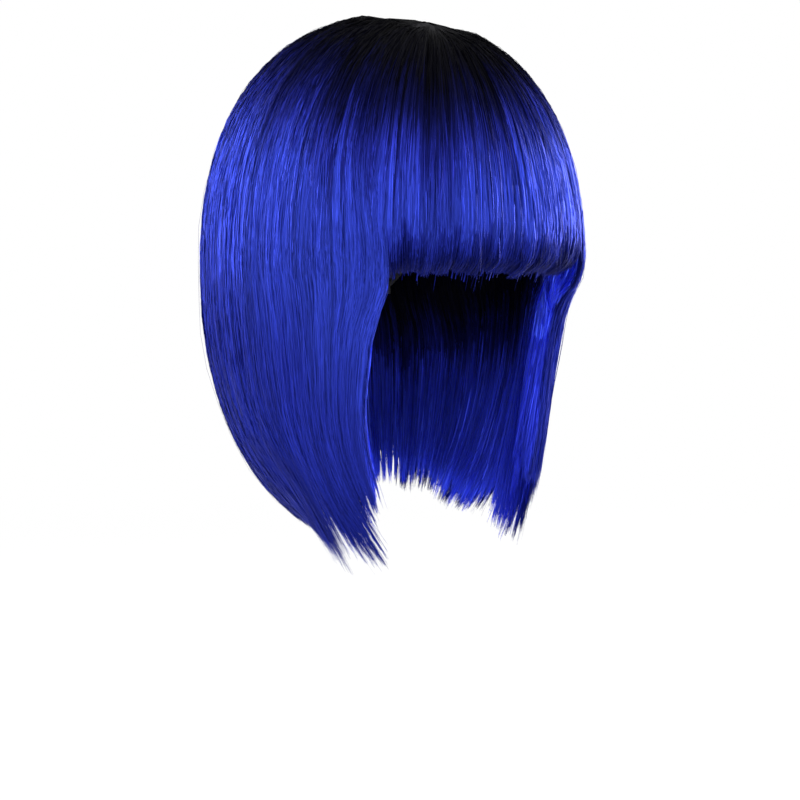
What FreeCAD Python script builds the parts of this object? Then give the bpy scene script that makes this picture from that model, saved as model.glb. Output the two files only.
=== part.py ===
import FreeCAD, Part
import math
import os

# A short straight wig: a bob with a full fringe on a stretch cap. Millimetres, +Z up.
# The wearer looks along -Y and their left is +X. The origin is the centre of the head at its greatest girth.
# Places round the head are angles from the front: 0 front, 90 wearer's left, 180 back, -90 wearer's right.

# ---- head that the cap fits: 559 mm round
HEAD_HALF_WIDTH = 78.5
HEAD_HALF_DEPTH = 99.0
HEAD_CROWN = 110.0
NAPE_TAPER_DROP = 130.0     # the head narrows to the neck as an ellipse of this drop

# ---- outline of the hair: a superellipsoid about its widest level
HAIR_HALF_WIDTH = 121.0
HAIR_FRONT = 132.0
HAIR_BACK = 126.0
HAIR_WIDEST_Z = -48.0
HAIR_TOP = 124.0
HAIR_FALL = 187.0           # from the widest level down to where the undercurve would close
PLAN_POWER = 2.3
CROWN_POWER = 2.3
UNDERCURVE_POWER = 2.15
FALL_LIMIT = 0.93           # the undercurve stops short of closing
DOME_LAST_ANGLE = 87.0      # the crown's top ring, just short of its pole
DOME_RINGS = 12
DOME_RING_POINTS = 36

# ---- front curtains: they hang straighter than the back
CURTAIN_INSET = 0.08        # share of the outline lost just under the fringe
CURTAIN_INSET_Z = -40.0
CURTAIN_INSET_DROP = 35.0
CURTAIN_LEAN = 0.0012       # share of the outline lost per mm further down
CURTAIN_ANGLE = 50.0
CURTAIN_FADE = 45.0

# ---- layers and edges of the hair
CROWN_EDGE_Z = 45.0
UNDER_TOP_Z = 90.0
LAYER_THICKNESS = 12.0
UNDER_THICKNESS = 10.0
SOFT_GAP = 0.3
FRINGE_ANGLE = 40.0
FACE_EDGE_ANGLE = 45.0
FACE_EDGE_DROP = 35.0
SIDE_BACK_ANGLE = 112.0
FRINGE_HEM_Z = -54.0
BACK_HEM_Z = -204.0
HEM_ANGLE_RANGE = 115.0
HEM_DROP = 25.0
HEM_POWER = 1.5
FRONT_TIP_RISE = 42.0
FRONT_TIP_ANGLE = 26.0
UNDER_HEM_RISE = 9.0
HUG_FRONT_Z = 10.0          # the lower layers lie on the wefts down to here at the front
HUG_BACK_Z = -40.0
HUG_ANGLE = 80.0
HUG_FADE = 40.0
HANG_DROP = 60.0            # they leave the cap and hang free within this drop

# ---- samples of each curved hair panel, across and down
FRINGE_SAMPLES = (13, 13)
SIDE_SAMPLES = (15, 31)
BACK_SAMPLES = (15, 25)
UNDER_FRINGE_SAMPLES = (13, 19)
UNDER_BACK_SAMPLES = (15, 27)

# ---- cap: distances out from the head
NET_EASE = 0.5
NET_THICKNESS = 1.0
RIB_THICKNESS = 0.8
WEFT_THICKNESS = 1.5
WEFT_HEIGHT = 3.0
CROWN_NET_Z = 55.0
NET_SEAM = 0.4
SIDE_NET_ANGLE = 100.0
HAIRLINE_Z = 34.0
TEMPLE_Z = 0.0
TEMPLE_ANGLE = 52.0
HAIRLINE_ANGLE = 18.0        # the hairline is level across the forehead to here
EAR_ARCH_Z = 8.0
EAR_ARCH_ANGLE = 68.0
EAR_ARCH_FADE = 12.0
NAPE_Z = -62.0
NAPE_ANGLE = 150.0
BAND_HEIGHT = 11.0
BAND_THICKNESS = 1.6
RIB_ANGLES = (112.0, 148.0, 180.0, 212.0, 248.0)
RIB_WIDTH = 8.0
WEFT_ROWS = ((-44.0, 142.0), (-28.0, 133.0), (-12.0, 124.0), (8.0, 62.0), (24.0, 52.0),
             (39.0, 42.0), (58.0, 8.0), (72.0, 8.0), (85.0, 12.0), (96.0, 26.0))
SCALP_PATCH_LENGTH = 58.0
SCALP_PATCH_WIDTH = 26.0
SCALP_PATCH_Y = -30.0
SCALP_PATCH_THICKNESS = 0.8
NET_SAMPLES = (45, 9)
BAND_SAMPLES = (25, 4)
NAPE_BAND_SAMPLES = (45, 4)
WEFT_SAMPLES = (31, 3)
RIB_SAMPLES = (4, 7)

# ---- ear tabs
EAR_TAB_ANGLE = 60.0
EAR_TAB_HALF_ANGLE = 7.0
EAR_TAB_LENGTH = 38.0
EAR_TAB_THICKNESS = 1.8
EAR_TAB_CLEARANCE = 0.6
EAR_TAB_TIP_POWER = 3.0
EAR_TAB_TIP_LIMIT = 0.97    # the round tip stops just short of its point
EAR_TAB_SAMPLES = (9, 7)
EAR_STAY_HALF_ANGLE = 1.5
EAR_STAY_LENGTH = 28.0
EAR_STAY_THICKNESS = 0.6
EAR_STAY_DROP = 3.0         # from the tab's seam down to the stay's top
EAR_STAY_SAMPLES = (4, 5)

# ---- adjuster straps, hooks and loops
STRAP_HEIGHT = 9.0
STRAP_THICKNESS = 1.1
STRAP_START_ANGLE = 139.0
STRAP_LOOP_ANGLE = 160.0
HOOK_WIRE = 1.2
HOOK_LENGTH = 9.0
HOOK_HEIGHT = 11.0
HOOK_DEPTH = 1.9            # how far inside the head line the hook's wire runs
HOOK_CLEARANCE = 0.06
CLAW_LENGTH = 5.0
CLAW_HEIGHT = 4.0
CLAW_THICKNESS = 0.7
STRAP_LOOP_WALL = 0.8
STRAP_SAMPLES = (7, 4)
HOOK_LAY_ANGLE = 8.0        # the hook lies along the head's curve over this turn
LADDER_COUNT = 4
LADDER_FIRST_ANGLE = 164.0
LADDER_STEP_ANGLE = 4.2
LADDER_BAR_WIDTH = 1.6
LADDER_BAR_HEIGHT = 8.0
LADDER_BAR_THICKNESS = 0.4
LADDER_SAMPLES = (3, 4)

# ---- snap combs
COMB_WIDTH = 30.0
COMB_PLATE_HEIGHT = 5.0
COMB_PLATE_THICKNESS = 0.6
COMB_SEWING_HOLES = 5
COMB_SEWING_HOLE_RADIUS = 0.8
COMB_LUG_WIDTH = 0.9
COMB_LUG_HEIGHT = 3.2
COMB_PIVOT_RADIUS = 0.5
COMB_PIVOT_CLEARANCE = 0.06
COMB_PIVOT_DEPTH = 2.1      # how far inside the net the pivot line lies
COMB_BAR_HEIGHT = 3.0
COMB_BAR_THICKNESS = 0.9
COMB_TEETH = 9
COMB_TOOTH_LENGTH = 14.0
COMB_TOOTH_RADIUS = 0.6
COMB_TOOTH_BOW = 1.0
COMB_TIP_RADIUS = 0.85
COMB_SIDE_GAP = 0.3
COMB_PLATE_CORNER = 1.5
COMB_BAR_ROUND = 0.3
SIDE_COMB_ANGLE = 84.0
SIDE_COMB_Z = 14.0
NAPE_COMB_Z = -44.0
SLOPE_STEP = 0.5            # step over which the head's slope is taken

Vector = FreeCAD.Vector


def smooth(t):
    t = min(max(t, 0.0), 1.0)
    return t * t * (3.0 - 2.0 * t)


def signed_power(value, power):
    return math.copysign(abs(value) ** power, value)


def turn_from_front(angle):
    """How far an angle is from the front, on either side."""
    return abs((angle + 180.0) % 360.0 - 180.0)


def plan_point(angle, half_width, front, back, power):
    """A point on a level outline, at an angle from the front."""
    across = signed_power(math.sin(math.radians(angle)), 2.0 / power)
    forward = signed_power(math.cos(math.radians(angle)), 2.0 / power)
    return half_width * across, -forward * (front if forward > 0 else back)


def head_point(angle, z, out):
    """A point a set distance outside the head."""
    drop = HEAD_CROWN + out if z > 0 else NAPE_TAPER_DROP
    share = math.sqrt(max(0.0, 1.0 - (z / drop) ** 2))
    depth = (HEAD_HALF_DEPTH + out) * share
    x, y = plan_point(angle, (HEAD_HALF_WIDTH + out) * share, depth, depth, 2.0)
    return Vector(x, y, z)


def curtain_share(z):
    """How much of the outline a front curtain keeps at a height."""
    step = CURTAIN_INSET * smooth((CURTAIN_INSET_Z - z) / CURTAIN_INSET_DROP)
    lean = CURTAIN_LEAN * max(0.0, CURTAIN_INSET_Z - CURTAIN_INSET_DROP - z)
    return 1.0 - step - lean


def hair_point(angle, z, inset):
    """A point on the hair's outline, or a set distance inside it."""
    if z > HAIR_WIDEST_Z:
        height = (z - HAIR_WIDEST_Z) / (HAIR_TOP - HAIR_WIDEST_Z - inset)
        share = (1.0 - min(height, 1.0) ** CROWN_POWER) ** (1.0 / CROWN_POWER)
    else:
        height = min((HAIR_WIDEST_Z - z) / HAIR_FALL, FALL_LIMIT)
        share = (1.0 - height ** UNDERCURVE_POWER) ** (1.0 / UNDERCURVE_POWER)
    turn = turn_from_front(angle)
    front = 1.0 - smooth((turn - CURTAIN_ANGLE) / CURTAIN_FADE)
    if z < CURTAIN_INSET_Z:
        share += front * (curtain_share(z) - share)
    x, y = plan_point(angle, HAIR_HALF_WIDTH, HAIR_FRONT, HAIR_BACK, PLAN_POWER)
    radius = math.hypot(x, y)
    keep = share * (radius - inset) / radius
    return Vector(x * keep, y * keep, z)


def hem_z(angle):
    """The hem's height: longest beside the chin, shorter at the back and at the very front edge."""
    turn = turn_from_front(angle)
    drop = HEM_DROP * (min(1.0, (180.0 - turn) / HEM_ANGLE_RANGE)) ** HEM_POWER
    rise = FRONT_TIP_RISE * (1.0 - smooth((turn - FACE_EDGE_ANGLE) / FRONT_TIP_ANGLE))
    return BACK_HEM_Z - drop + rise


def under_point(angle, z):
    """The inner face of the lower layers: on the wefts above, hanging free below."""
    turn = turn_from_front(angle)
    hug_z = HUG_FRONT_Z + (HUG_BACK_Z - HUG_FRONT_Z) * smooth((turn - HUG_ANGLE) / HUG_FADE)
    hang = smooth((hug_z - z) / HANG_DROP)
    on_cap = head_point(angle, z, WEFT_OUT + SOFT_GAP)
    free = hair_point(angle, z, LAYER_THICKNESS + SOFT_GAP + UNDER_THICKNESS)
    return on_cap * (1.0 - hang) + free * hang


def cap_edge_z(angle):
    """The cap's lower edge: hairline, temple, ear arch and nape."""
    turn = turn_from_front(angle)
    edge = HAIRLINE_Z
    edge += (TEMPLE_Z - HAIRLINE_Z) * smooth((turn - HAIRLINE_ANGLE) / (TEMPLE_ANGLE - HAIRLINE_ANGLE))
    edge += (EAR_ARCH_Z - TEMPLE_Z) * smooth((turn - EAR_ARCH_ANGLE) / EAR_ARCH_FADE)
    edge += (NAPE_Z - EAR_ARCH_Z) * smooth((turn - SIDE_NET_ANGLE) / (NAPE_ANGLE - SIDE_NET_ANGLE))
    return edge


# Distances out from the head, each layer on the one before it.
NET_OUT = NET_EASE + NET_THICKNESS
RIB_IN = NET_OUT + SOFT_GAP
RIB_OUT = RIB_IN + RIB_THICKNESS
WEFT_IN = RIB_OUT + SOFT_GAP
WEFT_OUT = WEFT_IN + WEFT_THICKNESS


def thick_patch(outer, inner, start, end, top, bottom, samples):
    """A closed curved panel between two surfaces given as point(angle, z).

    start and end are its side angles at a height; top and bottom are its edge heights at an angle.
    """
    across, down = samples

    def grid(surface_point):
        rows = []
        for i in range(across):
            u = i / (across - 1)
            level = bottom(start(HAIR_WIDEST_Z) * (1 - u) + end(HAIR_WIDEST_Z) * u)
            angle_low = start(level) * (1 - u) + end(level) * u
            row = []
            for j in range(down):
                v = j / (down - 1)
                z = top(angle_low) * (1 - v) + bottom(angle_low) * v
                row.append(surface_point(start(z) * (1 - u) + end(z) * u, z))
            rows.append(row)
        surface = Part.BSplineSurface()
        surface.interpolate(rows)
        return surface

    outside, inside = grid(outer), grid(inner)
    u0, u1, v0, v1 = outside.bounds()
    faces = [outside.toShape(), inside.toShape()]
    for line in ("uIso", "vIso"):
        for value in ((u0, u1) if line == "uIso" else (v0, v1)):
            edge_out = getattr(outside, line)(value).toShape()
            edge_in = getattr(inside, line)(value).toShape()
            faces.append(Part.makeRuledSurface(edge_out, edge_in))
    shell = Part.makeShell(faces)
    shell.sewShape()
    solid = Part.makeSolid(Part.Shell(shell.Faces))
    return solid.reversed() if solid.Volume < 0 else solid


def constant(value):
    return lambda _: value


def cap_patch(inner_out, outer_out, start, end, top, bottom, samples):
    """A panel of the cap between two distances from the head."""
    return thick_patch(lambda a, z: head_point(a, z, outer_out), lambda a, z: head_point(a, z, inner_out),
                       start, end, top, bottom, samples)


def dome(out, floor_z):
    """The solid top of the head, a set distance larger, above a level."""
    stretch = FreeCAD.Matrix()
    stretch.scale(HEAD_HALF_WIDTH + out, HEAD_HALF_DEPTH + out, HEAD_CROWN + out)
    ball = Part.makeSphere(1.0).transformGeometry(stretch)
    reach = 2.0 * (HEAD_HALF_DEPTH + out)
    box = Part.makeBox(reach, reach, reach, Vector(-reach / 2, -reach / 2, floor_z))
    return ball.common(box)


def hair_dome(inset, floor_z):
    """The solid top of the hair's outline, a set distance inside it, above a level."""
    rings = []
    for i in range(DOME_RINGS):
        rise = math.sin(math.radians(DOME_LAST_ANGLE * i / (DOME_RINGS - 1)))
        z = floor_z + (HAIR_TOP - inset - floor_z) * rise
        points = [hair_point(360.0 * k / DOME_RING_POINTS, z, inset) for k in range(DOME_RING_POINTS)]
        curve = Part.BSplineCurve()
        curve.interpolate(points, PeriodicFlag=True)
        rings.append(Part.Wire([curve.toShape()]))
    return Part.makeLoft(rings, True)


# ---- hair

def hair_layer(side_start, side_end, bottom, samples):
    """A panel of the outer layer of hair, from under the crown's edge down."""
    return thick_patch(lambda a, z: hair_point(a, z, 0.0), lambda a, z: hair_point(a, z, LAYER_THICKNESS),
                       side_start, side_end, constant(CROWN_EDGE_Z - SOFT_GAP), bottom, samples)


def under_layer(side_start, side_end, bottom, samples):
    """A panel of the lower layers of hair."""
    return thick_patch(lambda a, z: hair_point(a, z, LAYER_THICKNESS + SOFT_GAP), under_point,
                       side_start, side_end, constant(UNDER_TOP_Z), bottom, samples)


def half_gap():
    """Half a soft gap between neighbouring panels, as an angle."""
    return math.degrees(SOFT_GAP / 2.0 / HEAD_HALF_WIDTH)


def face_edge(z):
    """The front edge of a side curtain: it draws back a little under the fringe."""
    back = smooth((FRINGE_HEM_Z - z) / FACE_EDGE_DROP)
    return FRINGE_ANGLE + half_gap() + (FACE_EDGE_ANGLE - FRINGE_ANGLE) * back


def make_hair_crown():
    return hair_dome(0.0, CROWN_EDGE_Z).cut(hair_dome(LAYER_THICKNESS, CROWN_EDGE_Z))


def make_hair_fringe():
    edge = FRINGE_ANGLE - half_gap()
    return hair_layer(constant(-edge), constant(edge), constant(FRINGE_HEM_Z), FRINGE_SAMPLES)


def make_hair_side():
    end = constant(SIDE_BACK_ANGLE - half_gap())
    return hair_layer(face_edge, end, hem_z, SIDE_SAMPLES)


def make_hair_back():
    start = constant(SIDE_BACK_ANGLE + half_gap())
    end = constant(360.0 - SIDE_BACK_ANGLE - half_gap())
    return hair_layer(start, end, hem_z, BACK_SAMPLES)


def make_hair_under_fringe():
    edge = FRINGE_ANGLE - half_gap()
    bottom = constant(FRINGE_HEM_Z + UNDER_HEM_RISE)
    return under_layer(constant(-edge), constant(edge), bottom, UNDER_FRINGE_SAMPLES)


def under_hem_z(angle):
    return hem_z(angle) + UNDER_HEM_RISE


def make_hair_under_side():
    end = constant(SIDE_BACK_ANGLE - half_gap())
    return under_layer(face_edge, end, under_hem_z, SIDE_SAMPLES)


def make_hair_under_back():
    start = constant(SIDE_BACK_ANGLE + half_gap())
    end = constant(360.0 - SIDE_BACK_ANGLE - half_gap())

    return under_layer(start, end, under_hem_z, UNDER_BACK_SAMPLES)


# ---- cap

def net_panel(start, end, bottom):
    top = constant(CROWN_NET_Z - NET_SEAM)
    return cap_patch(NET_EASE, NET_OUT, constant(start), constant(end), top, bottom, NET_SAMPLES)


def band_top(angle):
    return cap_edge_z(angle) + BAND_HEIGHT


def make_front_band():
    return cap_patch(NET_EASE, NET_EASE + BAND_THICKNESS, constant(-TEMPLE_ANGLE), constant(TEMPLE_ANGLE),
                     band_top, cap_edge_z, BAND_SAMPLES)


def make_nape_band():
    """It runs from ear to ear, dipping to the nape."""
    start = SIDE_NET_ANGLE + half_gap()
    return cap_patch(NET_EASE, NET_EASE + BAND_THICKNESS, constant(start), constant(360.0 - start),
                     band_top, cap_edge_z, NAPE_BAND_SAMPLES)


def make_back_net():
    return net_panel(SIDE_NET_ANGLE + half_gap(), 360.0 - SIDE_NET_ANGLE - half_gap(),
                     lambda a: band_top(a) + NET_SEAM)


def make_side_net():
    def bottom(a):
        return cap_edge_z(a) + (BAND_HEIGHT + NET_SEAM if a < TEMPLE_ANGLE else 0.0)
    return net_panel(TEMPLE_ANGLE + half_gap(), SIDE_NET_ANGLE - half_gap(), bottom)


def make_front_net():
    return net_panel(-TEMPLE_ANGLE + half_gap(), TEMPLE_ANGLE - half_gap(), lambda a: band_top(a) + NET_SEAM)


def make_crown_net():
    return dome(NET_OUT, CROWN_NET_Z).cut(dome(NET_EASE, CROWN_NET_Z))


def make_rib_tape(angle):
    half = math.degrees(RIB_WIDTH / 2.0 / HEAD_HALF_DEPTH)
    return cap_patch(RIB_IN, RIB_OUT, constant(angle - half), constant(angle + half),
                     constant(CROWN_NET_Z - NET_SEAM), lambda a: band_top(a) + NET_SEAM, RIB_SAMPLES)


def make_weft_row(z, start):
    return cap_patch(WEFT_IN, WEFT_OUT, constant(start), constant(360.0 - start),
                     constant(z + WEFT_HEIGHT), constant(z), WEFT_SAMPLES)


def make_scalp_patch():
    shell = dome(RIB_OUT, CROWN_NET_Z).cut(dome(RIB_OUT - SCALP_PATCH_THICKNESS, CROWN_NET_Z))
    outline = Part.Ellipse(Vector(0, SCALP_PATCH_Y, 0), SCALP_PATCH_LENGTH / 2, SCALP_PATCH_WIDTH / 2)
    quarter_turn = FreeCAD.Rotation(Vector(0, 0, 1), 90)
    outline.rotate(FreeCAD.Placement(Vector(), quarter_turn, Vector(0, SCALP_PATCH_Y, 0)))
    column = Part.Face(Part.Wire([outline.toShape()])).extrude(Vector(0, 0, 2 * HEAD_CROWN))
    return shell.common(column)


# ---- ear tabs, left side

def tab_half_angle(z):
    """The tab narrows to a round tip."""
    along = min(max(-z / (EAR_TAB_LENGTH + EAR_TAB_CLEARANCE), 0.0), EAR_TAB_TIP_LIMIT)
    return EAR_TAB_HALF_ANGLE * (1.0 - along ** EAR_TAB_TIP_POWER) ** (1.0 / EAR_TAB_TIP_POWER)


def make_ear_tab():
    bottom = constant(TEMPLE_Z - EAR_TAB_CLEARANCE - EAR_TAB_LENGTH)
    return cap_patch(NET_EASE, NET_EASE + EAR_TAB_THICKNESS, lambda z: EAR_TAB_ANGLE - tab_half_angle(z),
                     lambda z: EAR_TAB_ANGLE + tab_half_angle(z), constant(TEMPLE_Z - EAR_TAB_CLEARANCE),
                     bottom, EAR_TAB_SAMPLES)


def make_ear_stay():
    inside = NET_EASE + EAR_TAB_THICKNESS + SOFT_GAP
    top = TEMPLE_Z - EAR_TAB_CLEARANCE - EAR_STAY_DROP
    return cap_patch(inside, inside + EAR_STAY_THICKNESS, constant(EAR_TAB_ANGLE - EAR_STAY_HALF_ANGLE),
                     constant(EAR_TAB_ANGLE + EAR_STAY_HALF_ANGLE), constant(top),
                     constant(top - EAR_STAY_LENGTH), EAR_STAY_SAMPLES)


# ---- adjuster straps, left side

def strap_middle_z():
    return NAPE_Z + BAND_HEIGHT / 2.0


def make_strap():
    middle = strap_middle_z()
    outside = NET_EASE - SOFT_GAP
    return cap_patch(outside - STRAP_THICKNESS, outside,
                     constant(STRAP_START_ANGLE), constant(strap_end_angle()),
                     constant(middle + STRAP_HEIGHT / 2), constant(middle - STRAP_HEIGHT / 2), STRAP_SAMPLES)


def strap_loop_radius():
    return HOOK_WIRE / 2 + HOOK_CLEARANCE + STRAP_LOOP_WALL


def strap_end_angle():
    """The strap stops just short of the loop that is sewn to it."""
    return STRAP_LOOP_ANGLE - math.degrees((strap_loop_radius() + SOFT_GAP) / HEAD_HALF_WIDTH)


def hook_frame():
    """The hook's pivot point, the way its arms run, the way up the head and the way out of it."""
    middle = strap_middle_z()
    pivot = head_point(STRAP_LOOP_ANGLE, middle, -HOOK_DEPTH)
    ahead = head_point(STRAP_LOOP_ANGLE + HOOK_LAY_ANGLE, middle, -HOOK_DEPTH)
    above = head_point(STRAP_LOOP_ANGLE, middle + SLOPE_STEP, -HOOK_DEPTH)
    along = (ahead - pivot).normalize()
    outward = along.cross(above - pivot).normalize()
    if outward.dot(pivot) < 0:
        outward = outward * -1.0
    up = outward.cross(along).normalize()
    return pivot, along, up if up.z > 0 else up * -1.0, outward


def make_strap_end():
    """A sewn loop round the hook's back leg."""
    pivot, _, up, _ = hook_frame()
    base = pivot - up * (STRAP_HEIGHT / 2)
    tube = Part.makeCylinder(strap_loop_radius(), STRAP_HEIGHT, base, up)
    return tube.cut(Part.makeCylinder(HOOK_WIRE / 2 + HOOK_CLEARANCE, STRAP_HEIGHT, base, up))


def make_hook():
    """A closed wire frame with a flat claw on its free leg."""
    pivot, along, up, outward = hook_frame()
    radius = HOOK_WIRE / 2
    low, high = up * (-HOOK_HEIGHT / 2), up * (HOOK_HEIGHT / 2)
    root = pivot + along * HOOK_LENGTH
    corners = [pivot + low, pivot + high, root + high, root + low]
    solid = None
    for i, corner in enumerate(corners):
        step = corners[(i + 1) % 4] - corner
        wire = Part.makeCylinder(radius, step.Length, corner, step).fuse(Part.makeSphere(radius, corner))
        solid = wire if solid is None else solid.fuse(wire)
    half_thick, half_tall = outward * (CLAW_THICKNESS / 2), up * (CLAW_HEIGHT / 2)
    outline = Part.makePolygon([root - half_thick - half_tall, root + half_thick - half_tall,
                                root + half_thick + half_tall, root - half_thick + half_tall,
                                root - half_thick - half_tall])
    claw = Part.Face(outline).extrude(along * -CLAW_LENGTH)
    return solid.fuse(claw).removeSplitter()


def make_loop_ladder():
    """Flat thread loops on the band's inner face, one for each size of the cap."""
    middle = strap_middle_z()
    outside = NET_EASE - SOFT_GAP / 2
    half = math.degrees(LADDER_BAR_WIDTH / 2 / HEAD_HALF_WIDTH)
    bars = []
    for i in range(LADDER_COUNT):
        angle = LADDER_FIRST_ANGLE + LADDER_STEP_ANGLE * i
        bars.append(cap_patch(outside - LADDER_BAR_THICKNESS, outside,
                              constant(angle - half), constant(angle + half),
                              constant(middle + LADDER_BAR_HEIGHT / 2),
                              constant(middle - LADDER_BAR_HEIGHT / 2), LADDER_SAMPLES))
    return Part.makeCompound(bars)


# ---- snap combs, made flat in their own axes: X along the comb, Y out to the net, Z up along the teeth

def comb_plate():
    """The sewn plate, with a row of sewing holes and a turned-in lug at each end."""
    plate = Part.makeBox(COMB_WIDTH, COMB_PLATE_THICKNESS, COMB_PLATE_HEIGHT,
                         Vector(-COMB_WIDTH / 2, -COMB_PLATE_THICKNESS, -COMB_PLATE_HEIGHT))
    corners = [e for e in plate.Edges if e.Length < COMB_PLATE_CORNER]
    plate = plate.makeFillet(COMB_PLATE_CORNER, corners)
    pitch = (COMB_WIDTH - 2 * COMB_LUG_HEIGHT) / COMB_SEWING_HOLES
    for i in range(COMB_SEWING_HOLES):
        x = (i - (COMB_SEWING_HOLES - 1) / 2) * pitch
        start = Vector(x, -1.5 * COMB_PLATE_THICKNESS, -COMB_PLATE_HEIGHT / 2)
        hole = Part.makeCylinder(COMB_SEWING_HOLE_RADIUS, 2 * COMB_PLATE_THICKNESS, start, Vector(0, 1, 0))
        plate = plate.cut(hole)
    for side in (-1, 1):
        plate = plate.fuse(comb_lug(side))
    bore = Part.makeCylinder(COMB_PIVOT_RADIUS + COMB_PIVOT_CLEARANCE, 2 * COMB_WIDTH,
                             Vector(-COMB_WIDTH, -COMB_PIVOT_DEPTH, 0), Vector(1, 0, 0))
    return plate.cut(bore).removeSplitter()


def comb_lug(side):
    """A lug that carries one end of the pivot."""
    x = side * (COMB_WIDTH - COMB_LUG_WIDTH) / 2 - COMB_LUG_WIDTH / 2
    arm = Part.makeBox(COMB_LUG_WIDTH, COMB_PIVOT_DEPTH, COMB_LUG_HEIGHT,
                       Vector(x, -COMB_PIVOT_DEPTH, -COMB_LUG_HEIGHT / 2))
    eye = Part.makeCylinder(COMB_LUG_HEIGHT / 2, COMB_LUG_WIDTH,
                            Vector(x, -COMB_PIVOT_DEPTH, 0), Vector(1, 0, 0))
    return arm.fuse(eye)


def comb_leaf():
    """The toothed leaf: a bar with end pivots and a row of bowed teeth with round tips."""
    bar_width = COMB_WIDTH - 2 * COMB_LUG_WIDTH - 2 * COMB_SIDE_GAP
    corner = Vector(-bar_width / 2, -COMB_PIVOT_DEPTH - COMB_BAR_THICKNESS / 2, -COMB_BAR_THICKNESS / 2)
    bar = Part.makeBox(bar_width, COMB_BAR_THICKNESS, COMB_BAR_HEIGHT, corner)
    long_edges = [e for e in bar.Edges if e.Length > COMB_BAR_HEIGHT + COMB_BAR_THICKNESS]
    bar = bar.makeFillet(COMB_BAR_ROUND, long_edges)
    pivot = Part.makeCylinder(COMB_PIVOT_RADIUS, COMB_WIDTH,
                              Vector(-COMB_WIDTH / 2, -COMB_PIVOT_DEPTH, 0), Vector(1, 0, 0))
    leaf = bar.fuse(pivot)
    pitch = (bar_width - 2 * COMB_TIP_RADIUS) / (COMB_TEETH - 1)
    for i in range(COMB_TEETH):
        leaf = leaf.fuse(comb_tooth((i - (COMB_TEETH - 1) / 2) * pitch))
    return leaf.removeSplitter()


def comb_tooth(x):
    """One tooth, bowed in towards the head, with a ball at its tip."""
    root = Vector(x, -COMB_PIVOT_DEPTH, COMB_BAR_HEIGHT / 2)
    tip = root + Vector(0, 0, COMB_TOOTH_LENGTH)
    half = COMB_TOOTH_LENGTH / 2
    bend = (half ** 2 + COMB_TOOTH_BOW ** 2) / (2 * COMB_TOOTH_BOW)
    centre = (root + tip) * 0.5 + Vector(0, bend - COMB_TOOTH_BOW, 0)
    tangent = (root - centre).cross(Vector(1, 0, 0))
    section = Part.Face(Part.Wire([Part.makeCircle(COMB_TOOTH_RADIUS, root, tangent)]))
    bow = section.revolve(centre, Vector(-1, 0, 0), 2 * math.degrees(math.asin(half / bend)))
    return bow.fuse(Part.makeSphere(COMB_TIP_RADIUS, tip))


def comb_seat(angle, z):
    """Where a comb sits: its plate lies under the net, with its teeth up towards the crown."""
    chord = COMB_WIDTH / 2
    here = head_point(angle, z, NET_EASE)
    across = head_point(angle + SLOPE_STEP, z, NET_EASE) - head_point(angle - SLOPE_STEP, z, NET_EASE)
    across = across.normalize()
    up = head_point(angle, z + SLOPE_STEP, NET_EASE) - head_point(angle, z - SLOPE_STEP, NET_EASE)
    up = up.normalize()
    outward = up.cross(across) * -1.0
    if outward.dot(here) < 0:
        outward = outward * -1.0
    bend = HEAD_HALF_DEPTH ** 2 / HEAD_HALF_WIDTH
    if abs(across.x) > abs(across.y):
        bend = HEAD_HALF_WIDTH ** 2 / HEAD_HALF_DEPTH
    sag = bend - math.sqrt(bend ** 2 - chord ** 2)
    turn = FreeCAD.Rotation(across * -1.0, outward, up, "ZYX")
    return FreeCAD.Placement(here - outward * (sag + SOFT_GAP), turn)


# ---- build and write

def mirrored(shape):
    return shape.mirror(Vector(0, 0, 0), Vector(1, 0, 0))


def placed(shape, placement):
    moved = shape.copy()
    moved.Placement = placement
    return moved


def build_parts():
    parts = {"hair_crown": make_hair_crown(), "hair_fringe": make_hair_fringe(),
             "hair_back": make_hair_back(), "hair_under_fringe": make_hair_under_fringe(),
             "hair_under_back": make_hair_under_back(), "crown_net": make_crown_net(),
             "front_net": make_front_net(), "back_net": make_back_net(), "front_band": make_front_band(),
             "nape_band": make_nape_band(), "scalp_patch": make_scalp_patch()}
    for i, angle in enumerate(RIB_ANGLES):
        parts["rib_tape_%d" % (i + 1)] = make_rib_tape(angle)
    for i, (z, start) in enumerate(WEFT_ROWS):
        parts["weft_row_%02d" % (i + 1)] = make_weft_row(z, start)
    left = {"hair_side": make_hair_side(), "hair_under": make_hair_under_side(), "side_net": make_side_net(),
            "ear_tab": make_ear_tab(), "ear_stay": make_ear_stay(), "strap": make_strap(),
            "strap_end": make_strap_end(), "hook": make_hook(), "loop_ladder": make_loop_ladder(),
            "comb_plate": placed(comb_plate(), comb_seat(SIDE_COMB_ANGLE, SIDE_COMB_Z)),
            "comb_leaf": placed(comb_leaf(), comb_seat(SIDE_COMB_ANGLE, SIDE_COMB_Z))}
    for name, shape in left.items():
        parts[name + "_left"] = shape
        parts[name + "_right"] = mirrored(shape)
    nape_seat = comb_seat(180.0, NAPE_COMB_Z)
    parts["comb_plate_nape"] = placed(comb_plate(), nape_seat)
    parts["comb_leaf_nape"] = placed(comb_leaf(), nape_seat)
    return parts


os.makedirs("parts", exist_ok=True)
for name, shape in build_parts().items():
    shape.exportStep("parts/%s.step" % name)
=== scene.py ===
import math

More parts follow.
